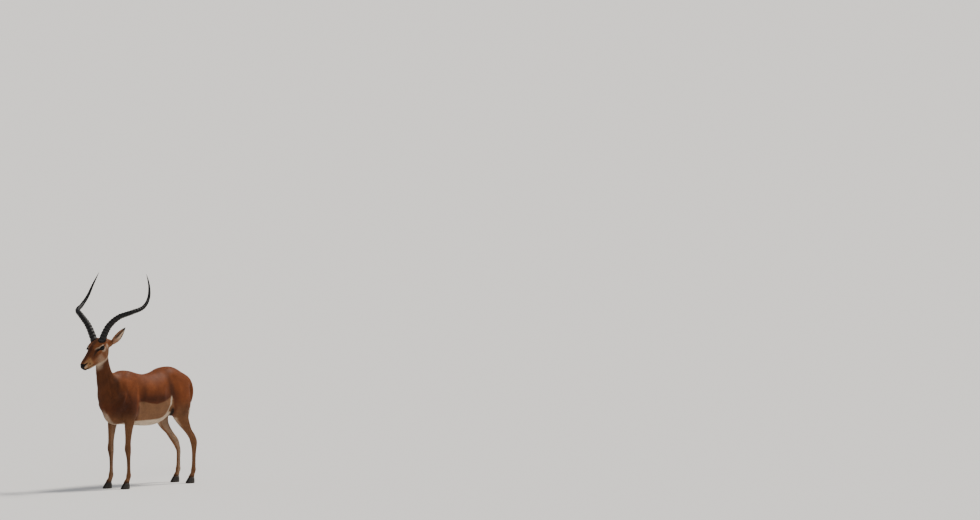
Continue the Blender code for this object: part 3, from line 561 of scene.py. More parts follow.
def bodyColour(points, normals):
    x, y, z = points.T
    side = np.abs(x)
    body = Layers("saddle", len(points))
    lay = body.lay
    # painted shade: the saddle darker towards the belly
    lay("saddleShade", ease(0.76, 0.64, z), ease(0.30, 0.16, y), 0.9)
    barrel = ease(-0.197, -0.167, y + 0.18 * (z - 0.56)) * ease(0.185, 0.150, y)
    lay("flank", ease(0.006, -0.006, z - edgeAt("saddle", y)), barrel)
    lay("leg", ease(0.60, 0.47, z), ease(-0.15, -0.21, y), 0.85)
    lay("leg", ease(0.66, 0.50, z), ease(0.17, 0.22, y), 0.9)
    # white belly, the fold before the thigh, painted shade in the groin behind it, the pale front of the
    # thigh
    under = ease(0.005, -0.005, z - edgeAt("belly", y)) * ease(0.17, 0.13, y) * (z > 0.40)
    between = ease(-0.45, -0.80, normals[:, 2]) * ease(-0.40, -0.36, y) * (z < 0.58)
    lay("cream", under, np.maximum(ease(-0.225, -0.190, y), between))
    fold = np.hypot(y - edgeAt("fold", z), (z - 0.58) * 0.06)
    lay("cream", ease(0.0125, 0.0045, fold), side > 0.06, ease(0.50, 0.52, z), ease(0.675, 0.655, z), 0.9)
    groin = np.hypot((y - 0.162) / 0.019, (z - 0.545) / 0.042)
    lay("black", ease(1.0, 0.50, groin), side > 0.05, 0.95)
    forward = ease(0.45, 0.90, -normals[:, 1]) * ease(0.17, 0.20, y)
    lay("cream", forward, ease(0.40, 0.45, z), ease(0.60, 0.54, z), side > 0.04, 0.6)
    # darker neck: painted shade; a redder nape: painted light; a pale breast: a painted highlight; and a
    # pale throat
    onNeck = ease(0.70, 0.80, z) * ease(-0.33, -0.375, y)
    lay("neck", onNeck, 0.9)
    lay("nape", ease(0.010, 0.062, y - edgeAt("nape", z) + 0.048), onNeck)
    lay("neck", ease(-0.335, -0.385, y), ease(0.60, 0.66, z), ease(0.88, 0.76, z), 0.8)
    breastHighlight = ease(0.036, 0.014, side + 0.22 * np.maximum(z - 0.535, 0)) * ease(-0.34, -0.38, y)
    lay("cream", breastHighlight, ease(0.612, 0.532, z), 0.46)
    # painted shade and painted highlights over the muscles
    for placeY, placeZ, halfY, halfZ, lean, factor in shadedTones:
        away = np.hypot((y - placeY - lean * (z - placeZ)) / halfY, (z - placeZ) / halfZ)
        share = ease(1.0, 0.20, away) * ease(0.025, 0.060, side)
        body.colour = body.colour * (1 + (factor - 1) * share)[:, None]
    throat = np.hypot(side / 0.048, (z - 0.930) / 0.054)
    lay("cream", ease(1.1, 0.15, throat), ease(-0.474, -0.500, y), 0.60)
    # rump: a pale patch under the tail with a black stripe down each side of it
    patch = edgeAt("rump", z)
    rear = ease(0.320, 0.365, y) * ease(0.54, 0.60, z)
    lay("cream", ease(0.003, -0.003, side - patch), rear, ease(0.811, 0.800, z))
    stripe = ease(0.0085, 0.0055, np.abs(side - patch - 0.0085))
    lay("black", stripe, ease(0.815, 0.795, z), ease(0.55, 0.62, z), ease(0.320, 0.345, y))
    # legs: paler inside, dark down the front of the shank, black behind the hind cannon and at the coronet
    inward = -normals[:, 0] * np.sign(x)
    onLeg = ease(0.58, 0.48, z) * (side > 0.03)
    lay("flank", ease(0.10, 0.80, inward), onLeg, 0.55)
    lay("cream", ease(0.60, 0.98, inward), onLeg, np.where(y < 0, 0.12, 0.28))
    shank = ease(0.34, 0.28, z) * ease(0.13, 0.20, z) * (y < 0)
    lay("shade", ease(0.35, 0.85, -normals[:, 1]), shank, 0.35)
    brush = np.hypot((z - 0.150) / 0.036, (normals[:, 1] - 1.0) / 0.75)
    lay("black", ease(1.0, 0.6, brush), y > 0.2)
    lay("shade", ease(0.066, 0.048, z), 0.8)
    lay("flank", ease(0.088, 0.070, z), ease(0.056, 0.068, z), 0.6)
    return body.colour


faceSpots = {  # paint, place and half sizes as out, forward, up, and strength
    "muzzle": (
        ("shade", (0.030, 0.247, -0.016), (0.014, 0.012, 0.010), 0.80),
        ("cream", (0.046, 0.140, -0.056), (0.034, 0.044, 0.060), 0.22),
        ("saddle", (0.050, 0.104, -0.040), (0.030, 0.026, 0.034), 0.55),
        ("cream", (0.017, 0.285, -0.012), (0.020, 0.024, 0.0135), 0.85),
    ),
    "ear": (
        ("shade", (0.050, 0.016, 0.030), (0.020, 0.020, 0.020), 0.80),
        ("cream", (0.060, 0.044, -0.006), (0.024, 0.017, 0.036), 0.60),
    ),
}
eyeMarks = (  # paint; place along the slit and up from it; half sizes; drop forward; soft edge; strength
    ("cream", (-0.013, -0.022), (0.026, 0.017), 0, (1.2, 0.6), 0.50),
    ("shade", (0.056, -0.006), (0.040, 0.0165), 0.55, (1.15, 0.3), 0.85),
    ("black", (0, 0), (0.0240, 0.0148), 0, (1.20, 1.02), 1),
    ("black", (0.0278, -0.00176), (0.025, 0.0095), 0.14, (1.2, 0.7), 1),
    ("black", (-0.0228, 0.001), (0.010, 0.0042), 0, (1.25, 0.8), 1),
)


def spot(points, way, place, size):  # 1 at the middle of an oval on one side of the head, 0 at its rim
    off = (points - fromHead(way * place[0], place[1], place[2])) @ headTurn
    return ease(1.0, 0.25, np.linalg.norm(off / np.array(size), axis=1))


def noseDistance(points):  # below 1 on the bare nose: the pad and the two nostrils
    out, forward, up = toHead(points)
    pad = np.sqrt((out / 0.0225) ** 2 + ((forward - 0.303) / 0.0175) ** 2 + ((up - 0.003) / 0.0185) ** 2)
    along = np.clip((forward - 0.262) / 0.034, 0, 1)
    reach = np.hypot(up - 0.004, forward - 0.262 - 0.034 * along) / (0.0042 + 0.0040 * along)
    return np.minimum(pad, np.hypot((np.abs(out) - 0.021 + 0.004 * along) / 0.010, reach))


def headColour(points):
    out, forward, up = toHead(points)
    side = np.abs(out)
    face = Layers("brow", len(points))
    lay = face.lay
    lay("cheek", ease(0.000, -0.024, up), ease(0.215, 0.17, forward), 0.8)
    # a dark bridge that widens over the sides of the nose, and a tan muzzle
    lay("bridge", ease(0.135, 0.165, forward), ease(0.235, 0.205, forward), ease(-0.030, -0.008, up), 0.55)
    bridge = ease(0.095, 0.135, forward) * ease(0.293, 0.270, forward) * (up > 0)
    lay("bridge", ease(0.020, 0.010, side), bridge, 0.80)
    lay("muzzle", ease(0.205, 0.232, forward), ease(0.010, 0.018, side), ease(0.026, 0.012, up))
    for way in (1, -1):
        for name, place, size, strength in faceSpots["muzzle"]:
            lay(name, spot(points, way, place, size), strength)
    lay("cream", ease(0.010, -0.012, up - edgeAt("jaw", forward)), ease(0.020, 0.070, forward), 0.62)
    lay("cream", ease(0.250, 0.272, forward), ease(-0.036, -0.044, up), 0.30)
    # the neck's painted shade, carried up under the back of the jaw
    lay("neck", ease(0.040, 0.010, forward), ease(-0.036, -0.054, up), 0.9)
    # eyes: black rims and corners under a pale brow; dark feet of the horns
    for way in (1, -1):
        centre, axes = eyeFrame(way)
        along, high, outer = ((points - centre) @ axes).T
        near = (out * way > 0.02) & (outer > -0.020)
        arch = high - 0.0150 + 0.11 * np.maximum(along - 0.006, 0) + 9.0 * np.minimum(along + 0.006, 0) ** 2
        brow = ease(0.0054, 0.0030, np.abs(arch)) * ease(-0.026, -0.016, along) * ease(0.062, 0.044, along)
        lay("cream", brow, near, 0.75)
        for name, place, size, drop, soft, strength in eyeMarks:
            ahead = along - place[0]
            away = np.hypot(ahead / size[0], (high - place[1] + drop * ahead) / size[1])
            lay(name, ease(*soft, away), near, strength)
        for name, place, size, strength in faceSpots["ear"]:
            lay(name, spot(points, way, place, size), strength)
        fromHorn = np.linalg.norm(points - fromHead(way * 0.042, 0.052, 0.060), axis=1)
        lay("black", ease(0.036, 0.028, fromHorn))
    lay("shade", ease(0.024, 0.014, side), ease(0.055, 0.063, up), ease(0.02, 0.045, forward), 0.75)
    # bare black nose, dark lips
    lay("black", ease(1.14, 0.94, noseDistance(points)))
    lay("black", ease(0.0185, 0.0125, side), ease(0.290, 0.299, forward), ease(0.0, -0.008, up))
    seam = up - edgeAt("mouth", forward)
    lay("black", ease(0.0105, 0.0075, np.abs(seam + 0.0062)), ease(0.262, 0.280, forward), 0.95)
    lay("black", ease(0.0036, 0.0014, np.abs(seam)), ease(0.205, 0.215, forward), 0.85)
    return face.colour


def coatColour(points, normals):
    share = isHead(points)
    colour = bodyColour(points, normals)
    some = share > 0
    colour[some] += (headColour(points[some]) - colour[some]) * share[some][:, None]
    return colour


# ---- how the hair lies, and how long its tufts are
hairLength = {
    "body": 0.0115, "lessOnLegs": 0.0050, "moreOnRump": 0.004, "moreUnder": 0.003,
    "face": 0.0062, "lessOnNose": 0.0028, "moreOnHock": 0.016,
}


def coatLie(points, normals):
    x, y, z = points.T
    lie = np.tile([0.0, 1.0, -0.22], (len(points), 1))
    lie = lie + np.array([0, -0.30, -0.55]) * (ease(0.72, 0.56, z) * ease(0.20, 0.28, y))[:, None]
    turns = (  # which way it turns, and where: legs, rump, neck, head
        ((0, 0.12, -1), ease(0.60, 0.46, z) * (np.abs(x) > 0.035)),
        ((0, 0.10, -1), ease(0.36, 0.40, y)),
        ((0, 0.35, -0.95), ease(-0.30, -0.40, y)),
        (headTurn @ np.array([0, 1.0, -0.12]), isHead(points)),
    )
    for way, share in turns:
        lie = lie + (np.array(way) - lie) * share[:, None]
    return unit(lie - normals * dots(lie, normals)[:, None])


def tuftLength(points):
    x, y, z = points.T
    face = isHead(points)
    length = hairLength["body"] - hairLength["lessOnLegs"] * ease(0.56, 0.42, z)
    length = length + hairLength["moreOnRump"] * ease(0.36, 0.40, y) * (z > 0.56)
    length = length + hairLength["moreUnder"] * ease(0.52, 0.47, z) * (np.abs(x) < 0.06) * (y < 0.2)
    length = length + (hairLength["face"] - length) * face
    length = length - hairLength["lessOnNose"] * face * ease(0.05, 0.20, toHead(points)[1])
    return length + hairLength["moreOnHock"] * hockTuft(points) * ((y > 0.30) & (z > 0.11) & (z < 0.19))


def hockTuft(points):  # the black brush behind each hind cannon
    x, y, z = points.T
    share = np.zeros(len(points))
    for name in ("hindleg_left", "hindleg_right"):
        middleX, middleY = legMiddle(name, z)
        there = ease(0.006, 0.013, y - middleY) * ease(0.014, 0.006, np.abs(x - middleX))
        share = np.maximum(share, there * ease(0.036, 0.020, np.abs(z - 0.150)))
    return share


def isBare(points):  # where no hair grows: nose, lips, eye rims, inside the slits
    out, forward, up = toHead(points)
    bare = noseDistance(points) < 1.02
    for way in (1, -1):
        centre, axes = eyeFrame(way)
        along, high, _ = ((points - centre) @ axes).T
        rim = np.hypot(along / (eyes["halfLength"] + 0.003), high / (eyes["halfHeight"] + 0.002))
        bare |= (rim < 1.06) & (out * way > 0.02)
    return bare | ((np.abs(up - edgeAt("mouth", forward)) < 0.0024) & (forward > 0.21))


# ---- unrolled charts of the skin, for the coat's map and the skin's streaks
charts = {  # corner in the map, where its rolled length starts, girth
    "trunk": (0.010, 0.010, -0.46, 1.05), "neck": (0.700, 0.010, 0.60, 0.36),
    "head": (0.700, 0.330, -0.10, 0.36),
    "foreleg_left": (0.010, 0.620, 0.00, 0.14), "foreleg_right": (0.120, 0.620, 0.00, 0.14),
    "hindleg_left": (0.230, 0.620, 0.00, 0.20), "hindleg_right": (0.380, 0.620, 0.00, 0.20),
}
mapScale = 1 / 1.65  # the map's square is this many metres wide
chartNames = list(charts)


def chartOf(points):
    x, y, z = points.T
    chart = np.zeros(len(points), int)
    onNeck = (points - np.array([0, -0.412, 0.765])) @ np.array([0, -0.877, 0.48]) > 0
    chart[onNeck & (z > 0.60)] = 1
    chart[isHead(points) > 0.5] = 2
    low = (z < 0.455) & (np.abs(x) > 0.02)
    for i, name in enumerate(chartNames[3:]):
        sign = 1 if name.endswith("left") else -1
        front = y < 0 if name.startswith("fore") else y > 0
        chart[low & front & (x * sign > 0)] = 3 + i
    return chart


def unrolled(points, chart):  # angle round each chart's own middle line, and length along it
    angle = np.zeros(len(points))
    length = np.zeros(len(points))
    for i, name in enumerate(chartNames):
        here = chart == i
        x, y, z = points[here].T
        if name == "trunk":
            angle[here], length[here] = np.arctan2(x, z - 0.66), y
        elif name == "neck":
            heights, middles = [row[1] for row in trunk["neck"]], [row[0] for row in trunk["neck"]]
            angle[here], length[here] = np.arctan2(x, y - np.interp(z, heights, middles)), z
        elif name == "head":
            out, forward, up = toHead(points[here])
            angle[here], length[here] = np.arctan2(out, up + 0.008), forward
        else:
            middleX, middleY = legMiddle(name, z)
            angle[here], length[here] = np.arctan2(x - middleX, middleY - y), z
    return angle, length


def mapPlace(angle, length, chart):
    left, bottom, start, girth = np.array(list(charts.values()))[chart].T
    u = left + (angle / (2 * math.pi) + 0.5) * girth * mapScale
    return np.stack([u, bottom + (length - start) * mapScale], 1)


# ---- mesh and material helpers
def makePiece(name, vertices, faceSets, material, colour=None, uv=None, normals=None):
    mesh = bpy.data.meshes.new(name)
    mesh.vertices.add(len(vertices))
    mesh.vertices.foreach_set("co", (np.asarray(vertices) + shift).astype(np.float32).ravel())
    faceSets = [np.asarray(f, np.int32) for f in faceSets]
    loops = np.concatenate([f.ravel() for f in faceSets])
    sizes = np.concatenate([np.full(len(f), f.shape[1]) for f in faceSets])
    mesh.loops.add(len(loops))
    mesh.loops.foreach_set("vertex_index", loops)
    mesh.polygons.add(len(sizes))
    mesh.polygons.foreach_set("loop_start", np.concatenate([[0], np.cumsum(sizes)[:-1]]).astype(np.int32))
    mesh.update(calc_edges=True)
    mesh.shade_smooth()
    if colour is not None:
        rgba = np.ones((len(vertices), 4), np.float32)
        rgba[:, :3] = colour
        layer = mesh.color_attributes.new("coatColour", "FLOAT_COLOR", "POINT")
        layer.data.foreach_set("color", rgba.ravel())
    if uv is not None:
        mesh.uv_layers.new(name="OFBake").data.foreach_set("uv", np.asarray(uv, np.float32).ravel())
    if normals is not None:
        mesh.normals_split_custom_set_from_vertices(np.asarray(normals, float).tolist())
    mesh.materials.append(material)
    piece = bpy.data.objects.new(name, mesh)
    bpy.context.scene.collection.objects.link(piece)
    return piece


def rolled(loops):  # vertices and faces of a closed skin through loops of points
    loops = np.asarray(loops)
    rows, across = loops.shape[:2]
    index = np.arange(rows * across).reshape(rows, across)
    after = np.roll(index, -1, axis=1)
    quads = np.stack([index[:-1], after[:-1], after[1:], index[1:]], -1).reshape(-1, 4)
    first, last = (np.full(across, rows * across + k) for k in (0, 1))
    lower = np.stack([after[0], index[0], first], 1)
    upper = np.stack([index[-1], after[-1], last], 1)
    vertices = np.concatenate([loops.reshape(-1, 3), loops[:1].mean(1), loops[-1:].mean(1)])
    return vertices, [quads, np.concatenate([lower, upper])]


def withEnds(colour):  # the two middle points of a rolled skin take the colours next to them
    return np.concatenate([colour, colour[:1], colour[-1:]])


class Look:  # the nodes of a material or of the world
    def __init__(self, owner):
        owner.use_nodes = True
        self.owner = owner
        self.nodes, self.links = owner.node_tree.nodes, owner.node_tree.links

    def fill(self, node, inputs):  # sockets are linked, anything else is a value
        for name, value in inputs.items():
            if isinstance(value, bpy.types.NodeSocket):
                self.links.new(value, node.inputs[name])
            else:
                node.inputs[name].default_value = value

    def add(self, kind, inputs, output, **settings):
        node = self.nodes.new("ShaderNode" + kind)
        for name, value in settings.items():
            setattr(node, name, value)
        self.fill(node, inputs)
        return node.outputs[output]

    def shade(self, inputs):
        self.fill(self.nodes["Principled BSDF"], inputs)

    def painted(self):
        return self.add("Attribute", {}, "Color", attribute_name="coatColour")

    def place(self):
        return self.add("TexCoord", {}, "Object")

    def noise(self, vector, scale, detail=3.0, stretch=(1, 1, 1)):
        place = self.add("Mapping", {"Scale": stretch, "Vector": vector}, "Vector")
        return self.add("TexNoise", {"Scale": scale, "Detail": detail, "Vector": place}, "Fac")

    def ranged(self, value, low, high):  # a noise, mostly 0.3 to 0.7, to a range of factors
        ends = {"From Min": 0.3, "From Max": 0.7, "To Min": low, "To Max": high, "Value": value}
        return self.add("MapRange", ends, "Result")

    def dimmed(self, colour, factor):
        return self.add("VectorMath", {"Vector": colour, "Scale": factor}, "Vector", operation="SCALE")

    def bump(self, height, strength, distance):
        inputs = {"Strength": strength, "Distance": distance, "Height": height}
        self.shade({"Normal": self.add("Bump", inputs, "Normal")})


def newLook(name, roughness, colour=(0.5, 0.5, 0.5), specular=0.4):
    look = Look(bpy.data.materials.new(name))
    look.shade({"Base Color": (*colour, 1), "Roughness": roughness, "Specular IOR Level": specular})
    return look


def coatMaterial(name, roughness, streaks):
    look = newLook(name, roughness, specular=0.12)
    look.shade({"Sheen Weight": 0.02, "Sheen Roughness": 0.4})
    colour = look.painted()
    colour = look.dimmed(colour, look.ranged(look.noise(look.place(), 22, 4), 0.86, 1.13))
    if streaks:
        unrolledPlace = look.add("UVMap", {}, "UV", uv_map="OFBake")
        hair = look.noise(unrolledPlace, 1, 3, (1500, 170, 1))
        colour = look.dimmed(colour, look.ranged(hair, 0.72, 1.12))
        look.bump(hair, 0.55, 0.0008)
    look.shade({"Base Color": colour})
    return look.owner


coatHair = coatMaterial("coat hair", 0.50, False)
coatSkin = coatMaterial("coat skin", 0.62, True)


# ---- the skin
def buildSkin():
    forms = trunkForms() + legForms() + headForms()
    details = [mass for row in trunk["hollows"].values() for mass in bothSides(*row, hollow=True)]
    details += legHollows() + lidForms() + openings() + mouthForms()
    for place, size, turned, blend in head["hollows"].values():
        details += bothCheeks(place, size, blend, True, turned)
    field, axes = sampledField(forms, details)
    vertices, quads = surfaceOf(field, axes)
    vertices = settle(vertices, forms, details)
    print("skin:", len(quads), "faces")
    return vertices, quads


def meshNormals(vertices, quads):  # and each face's area
    a, b, c, d = (vertices[quads[:, k]] for k in range(4))
    face = np.cross(c - a, d - b)
    normals = np.zeros_like(vertices)
    for k in range(4):
        np.add.at(normals, quads[:, k], face)
    return unit(normals), np.linalg.norm(face, axis=1) * 0.5


def unrolledMap(vertices, quads, faceChart):
    chart = np.repeat(faceChart, 4)
    angle, length = unrolled(vertices[quads].reshape(-1, 3), chart)
    angle = angle.reshape(-1, 4)
    torn = (angle.max(1) - angle.min(1)) > math.pi  # faces over the chart's seam
    angle[torn] = np.where(angle[torn] < 0, angle[torn] + 2 * math.pi, angle[torn])
    return mapPlace(angle.ravel(), length, chart)


vertices, quads = buildSkin()
normals, areas = meshNormals(vertices, quads)
faceChart = chartOf(vertices[quads].mean(1))
skinMap = unrolledMap(vertices, quads, faceChart)
body = makePiece("skin", vertices, [quads], coatSkin, coatColour(vertices, normals) * skin["tone"], skinMap)
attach(body, "root")
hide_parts("head", "lower_jaw", "neck", "trunk", *legs["stance"])
print("skin: placed")


# ---- tufts: each is a thin ridged blade lying along the body
blade = {
    "faces": np.array([[0, 4, 1], [0, 3, 4], [1, 5, 2], [1, 4, 5], [3, 6, 4], [4, 6, 5]]),
    "map": np.array([[-1, -1], [0, -1], [1, -1], [-0.8, 0], [0, 0], [0.8, 0], [0, 1]]) * 0.0014,
    "shadedTones": np.array([0.80, 0.80, 0.80, 1.0, 1.02, 1.0, 1.16])[None, :, None],  # root to tip: painted shade at the root, painted light at the tip
    "ridge": 0.22, "roundness": 0.45, "stray": 0.16, "toneSpread": 0.13,
}


def blades(name, roots, normal, lie, long, wide, colour, rootMap, rise, sink, rng):
    count = len(roots)
    side = unit(np.cross(normal, lie))
    lie = unit(lie + side * rng.normal(0, blade["stray"], (count, 1)))
    side = unit(np.cross(normal, lie))
    long, wide = long[:, None], wide[:, None]
    lift = rise * rng.uniform(0.4, 1.3, (count, 1))
    droop = rng.uniform(0.2, 0.8, (count, 1))
    bottom = roots - normal * sink
    middle = roots + lie * long * 0.5 + normal * (lift * 0.75)
    tip = roots + lie * long + normal * lift * droop
    ridge = normal * wide * blade["ridge"]
    points = [row + way for row, half in ((bottom, 0.42), (middle, 0.5))
              for way in (-side * wide * half, ridge, side * wide * half)] + [tip]
    across = side * blade["roundness"]
    shading = [normal - across, normal, normal + across] * 2 + [normal + lie * 0.2]
    faces = blade["faces"][None] + (np.arange(count) * 7)[:, None, None]
    shadedTones = rng.normal(1.0, blade["toneSpread"], (count, 1, 1)) * blade["shadedTones"]
    shades = np.clip(colour[:, None] * shadedTones, 0.003, 0.9)
    spots = (rootMap[:, None] + blade["map"][None])[:, blade["faces"]]
    piece = makePiece(name, np.stack(points, 1).reshape(-1, 3), [faces.reshape(-1, 3)], coatHair,
                      shades.reshape(-1, 3), spots.reshape(-1, 2), unit(np.stack(shading, 1)).reshape(-1, 3))
    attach(piece, "root")
    print(name + ":", len(faces) * 6, "faces")


coat = {  # tufts on each part: how many, width, how far they stand up
    "trunk": {"tufts": 112000, "wide": 0.0017, "rise": 0.0012},
    "legs": {"tufts": 36000, "wide": 0.0013, "rise": 0.0009},
    "head": {"tufts": 38000, "wide": 0.0009, "rise": 0.0006},
}
maxTufts = 33000  # in one piece
rootDepth = 0.0006  # under the skin


def spreadRoots(here, count, rng):  # evenly by area over some faces of the skin: place, normal and map
    run = np.cumsum(areas[here])
    picks = (np.arange(count) + rng.uniform(0, 1, count)) / count * run[-1]
    face = here[np.minimum(np.searchsorted(run, picks), len(here) - 1)]
    a, b = rng.uniform(0, 1, (2, len(face), 1))
    weights = np.stack([(1 - a) * (1 - b), a * (1 - b), a * b, (1 - a) * b], 1)
    corners = (vertices[quads[face]], normals[quads[face]], skinMap.reshape(-1, 4, 2)[face])
    roots, normal, spots = ((values * weights).sum(1) for values in corners)
    keep = np.flatnonzero(~isBare(roots) & (roots[:, 2] > pose["coronet"] - 0.004))
    keep = keep[rng.permutation(len(keep))]
    return roots[keep], unit(normal)[keep], spots[keep]


def growCoat():
    group = np.where(faceChart == 2, 2, np.where(faceChart > 2, 1, 0))  # trunk with neck, legs, head
    for k, (part, facts) in enumerate(coat.items()):
        rng = np.random.default_rng(11 + k)
        roots, normal, spots = spreadRoots(np.flatnonzero(group == k), facts["tufts"], rng)
        lie = coatLie(roots, normal)
        long = tuftLength(roots) * rng.uniform(0.75, 1.25, len(roots))
        wide = facts["wide"] * rng.uniform(0.75, 1.25, len(roots))
        colour = coatColour(roots + lie * 0.002, normal)
        pieces = -(-len(roots) // maxTufts)
        for i in range(pieces):
            rows = (values[i::pieces] for values in (roots, normal, lie, long, wide, colour, spots))
            blades("coat_%s_%d" % (part, i + 1), *rows, facts["rise"], rootDepth, rng)


growCoat()


# ---- eyes
eyeLook = {
    "iris": 0.0122, "pupil": (0.0088, 0.0042), "bulge": 0.0006, "rings": 72, "lashes": 110,
    "ballColour": (0.010, 0.007, 0.006), "irisColour": (0.009, 0.0036, 0.0018),
    "pupilColour": (0.002, 0.002, 0.002), "lashLength": (0.005, 0.0075), "lashWidth": 0.0006,
    "lashRise": 0.0010,
}
wet = newLook("wet eye", 0.12, specular=0.04)
wet.shade({"Base Color": wet.painted(), "Coat Weight": 0.45, "Coat IOR": 1.38, "Coat Roughness": 0.02})


def buildEye(side, word):
    centre, axes = eyeFrame(side)
    c, s = (v[None, :, None] for v in circle(eyeLook["rings"]))
    tilt = np.linspace(0.02, math.pi - 0.02, eyeLook["rings"])[:, None, None]
    local = np.concatenate([np.sin(tilt) * c, np.sin(tilt) * s, np.cos(tilt) + 0 * c], 2)
    flat = np.hypot(local[..., 0], local[..., 1]) * eyes["radius"]
    front = local[..., 2] > 0
    bulge = eyeLook["bulge"] * ease(eyeLook["iris"], eyeLook["iris"] * 0.6, flat) * front
    points = local * (eyes["radius"] + bulge[..., None] - 0.0003)
    colour = np.tile(np.array(eyeLook["ballColour"]), (*flat.shape, 1))
    streak = 1 + 0.25 * np.sin(np.arctan2(local[..., 1], local[..., 0]) * 31)[..., None]
    pupil = np.hypot(points[..., 0] / eyeLook["pupil"][0], points[..., 1] / eyeLook["pupil"][1])
    layers = (
        (np.array(eyeLook["irisColour"]) * streak, ease(eyeLook["iris"], eyeLook["iris"] - 0.0012, flat)),
        (np.array(eyeLook["pupilColour"]), ease(1.15, 0.95, pupil)),
    )
    for layer, share in layers:
        colour = colour + (layer - colour) * (share * front)[..., None]
    if np.linalg.det(axes) > 0:  # so that the faces look outward
        points, colour = points[:, ::-1], colour[:, ::-1]
    ball, faces = rolled(points @ axes.T + centre)
    piece = makePiece("eyeball_" + word, ball, faces, wet.owner, withEnds(colour.reshape(-1, 3)))
    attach(piece, "root")
    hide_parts("eye_" + word)


def buildLashes(side, word):
    rng = np.random.default_rng(61 + side)
    centre, axes = eyeFrame(side)
    count = eyeLook["lashes"]
    a = np.linspace(0.18, 0.86, count) * math.pi + rng.normal(0, 0.01, count)
    along, high = np.cos(a) * eyes["halfLength"] * 0.80, np.sin(a) * eyes["halfHeight"] * 1.10
    lid = eyes["radius"] + eyes["lid"] * 0.9
    roots = np.stack([along, high, np.sqrt(np.maximum(lid**2 - along**2 - high**2, 1e-6))], 1)
    one = np.ones(count)
    lie = unit(np.stack([np.cos(a) * 0.35, 0.10 * one, one], 1))
    normal = np.stack([0 * a, one, 0 * a], 1)
    spots = np.stack([0.94 + a / 200, 0.95 * one], 1)
    long, wide = rng.uniform(*eyeLook["lashLength"], count), eyeLook["lashWidth"] * one
    roots, normal, lie = roots @ axes.T + centre, normal @ axes.T, lie @ axes.T
    colour = np.tile(paint["black"], (count, 1))
    blades("lashes_" + word, roots, normal, lie, long, wide, colour, spots, eyeLook["lashRise"], 0, rng)


for side, word in leftRight:
    buildEye(side, word)
    buildLashes(side, word)
print("eyes: placed")


# ---- horns: ridged on the lower two thirds, smooth and sharp above
horn = {
    "base": (0.042, 0.050, 0.056), "radius": 0.0255, "taper": 0.62,
    "rings": 22, "steps": 12, "ringHeight": 0.0030, "ringStart": 0.028, "ringEnd": 0.70,
    "line": (  # from the base, with the head level: out, back, up
        (-0.009, 0.000, -0.032), (0.004, 0.000, 0.010), (0.057, 0.004, 0.100), (0.138, 0.021, 0.168),
        (0.219, 0.071, 0.204), (0.256, 0.158, 0.238), (0.254, 0.222, 0.303), (0.231, 0.256, 0.390),
        (0.190, 0.274, 0.476),
    ),
    "sides": 40, "colour": (0.0125, 0.0108, 0.0105),
}


def hornStations():  # place along, radius, how much of a ridge, and the ring's own number
    start, end, rings = horn["ringStart"], horn["ringEnd"], horn["rings"]
    stations = []
    for at in np.linspace(0, start, 6):
        stations.append((at, horn["radius"] * (0.35 + 0.65 * ease(-0.020, 0.026, at)), 0.2, 0))
    begins = start + (end - start) * (np.arange(rings + 1) / rings) ** 0.92
    for ring, (begin, after) in enumerate(zip(begins, begins[1:])):
        for f in np.arange(horn["steps"]) / horn["steps"]:
            at = begin + (after - begin) * f
            high = ease(0.0, 0.34, f) * ease(0.92, 0.36, f)
            fade = (1 - 0.6 * at / end) * ease(end + 0.01, 0.60, at)
            radius = horn["radius"] * (1 - at) ** horn["taper"] + horn["ringHeight"] * (high - 0.35) * fade
            stations.append((at, radius, high * fade, ring))
    for at in np.linspace(end, 1, 40):
        stations.append((at, max(horn["radius"] * (1 - at) ** horn["taper"], 0.0012), 0.3 * (1 - at), rings))
    return stations


def buildHorn(side, word):
    level = turn(0, 0, pose["headYaw"])
    out, forward, up = horn["base"]
    line = [(side * out, back, up) for out, back, up in horn["line"]]
    line = throughPoints(line, 600) @ level.T + fromHead(side * out, forward, up)
    length = np.concatenate([[0], np.cumsum(np.linalg.norm(np.diff(line, axis=0), axis=1))])
    length /= length[-1]
    tangent = unit(np.gradient(line, axis=0))
    around = np.arange(horn["sides"]) / horn["sides"] * 2 * math.pi
    c, s = circle(horn["sides"])
    loops, shades = [], []
    for at, radius, high, ring in hornStations():
        middle, along = ([np.interp(at, length, column) for column in rows.T] for rows in (line, tangent))
        along = unit(along)
        front = level @ np.array([0, -1.0, 0])
        front = unit(front - along * (front @ along))
        outer = np.cross(along, front)
        # ridges stand highest in front, and wander a little round the horn
        ringed = at < horn["ringEnd"]
        each = radius + 0.10 * c * (ring < horn["rings"]) * horn["ringHeight"] * high
        each = each + 0.00035 * np.sin(around * 3 + ring * 2.4) * ringed
        skew = 0.0016 * np.sin(around + 0.9)[:, None] * along * (ringed and at > 0.03)
        oval = c[:, None] * front * (1.12 - 0.12 * min(at / 0.5, 1)) + s[:, None] * outer
        loops.append(middle + each[:, None] * oval + skew)
        # painted highlights on the ridges' crests and painted shade in the grooves; the upper horn darker,
        # its own colour
        ridgeHighlight = 0.35 + 0.65 * min(high, 1)
        tone = (0.10 + 1.75 * ridgeHighlight**2.5) * (1 - 0.45 * ease(0.60, 0.80, at))
        shades.append(np.tile(np.array(horn["colour"]) * tone, (horn["sides"], 1)))
    sheath, faces = rolled(loops)
    piece = makePiece("horn_sheath_" + word, sheath, faces, hornSkin.owner, withEnds(np.concatenate(shades)))
    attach(piece, "root")
    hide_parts("horn_" + word)


hornSkin = newLook("horn sheath", 0.42, specular=0.22)
hornPaint, place = hornSkin.painted(), hornSkin.place()
grain = hornSkin.noise(place, 260, 4, (1, 1, 0.25))
broad = hornSkin.ranged(hornSkin.noise(place, 35, 3), 0.8, 1.25)
hornPaint = hornSkin.dimmed(hornSkin.dimmed(hornPaint, broad), hornSkin.ranged(grain, 0.75, 1.2))
hornSkin.shade({"Base Color": hornPaint, "Roughness": hornSkin.ranged(grain, 0.40, 0.60)})
hornSkin.bump(grain, 0.4, 0.0006)
for side, word in leftRight:
    buildHorn(side, word)
print("horns: placed")


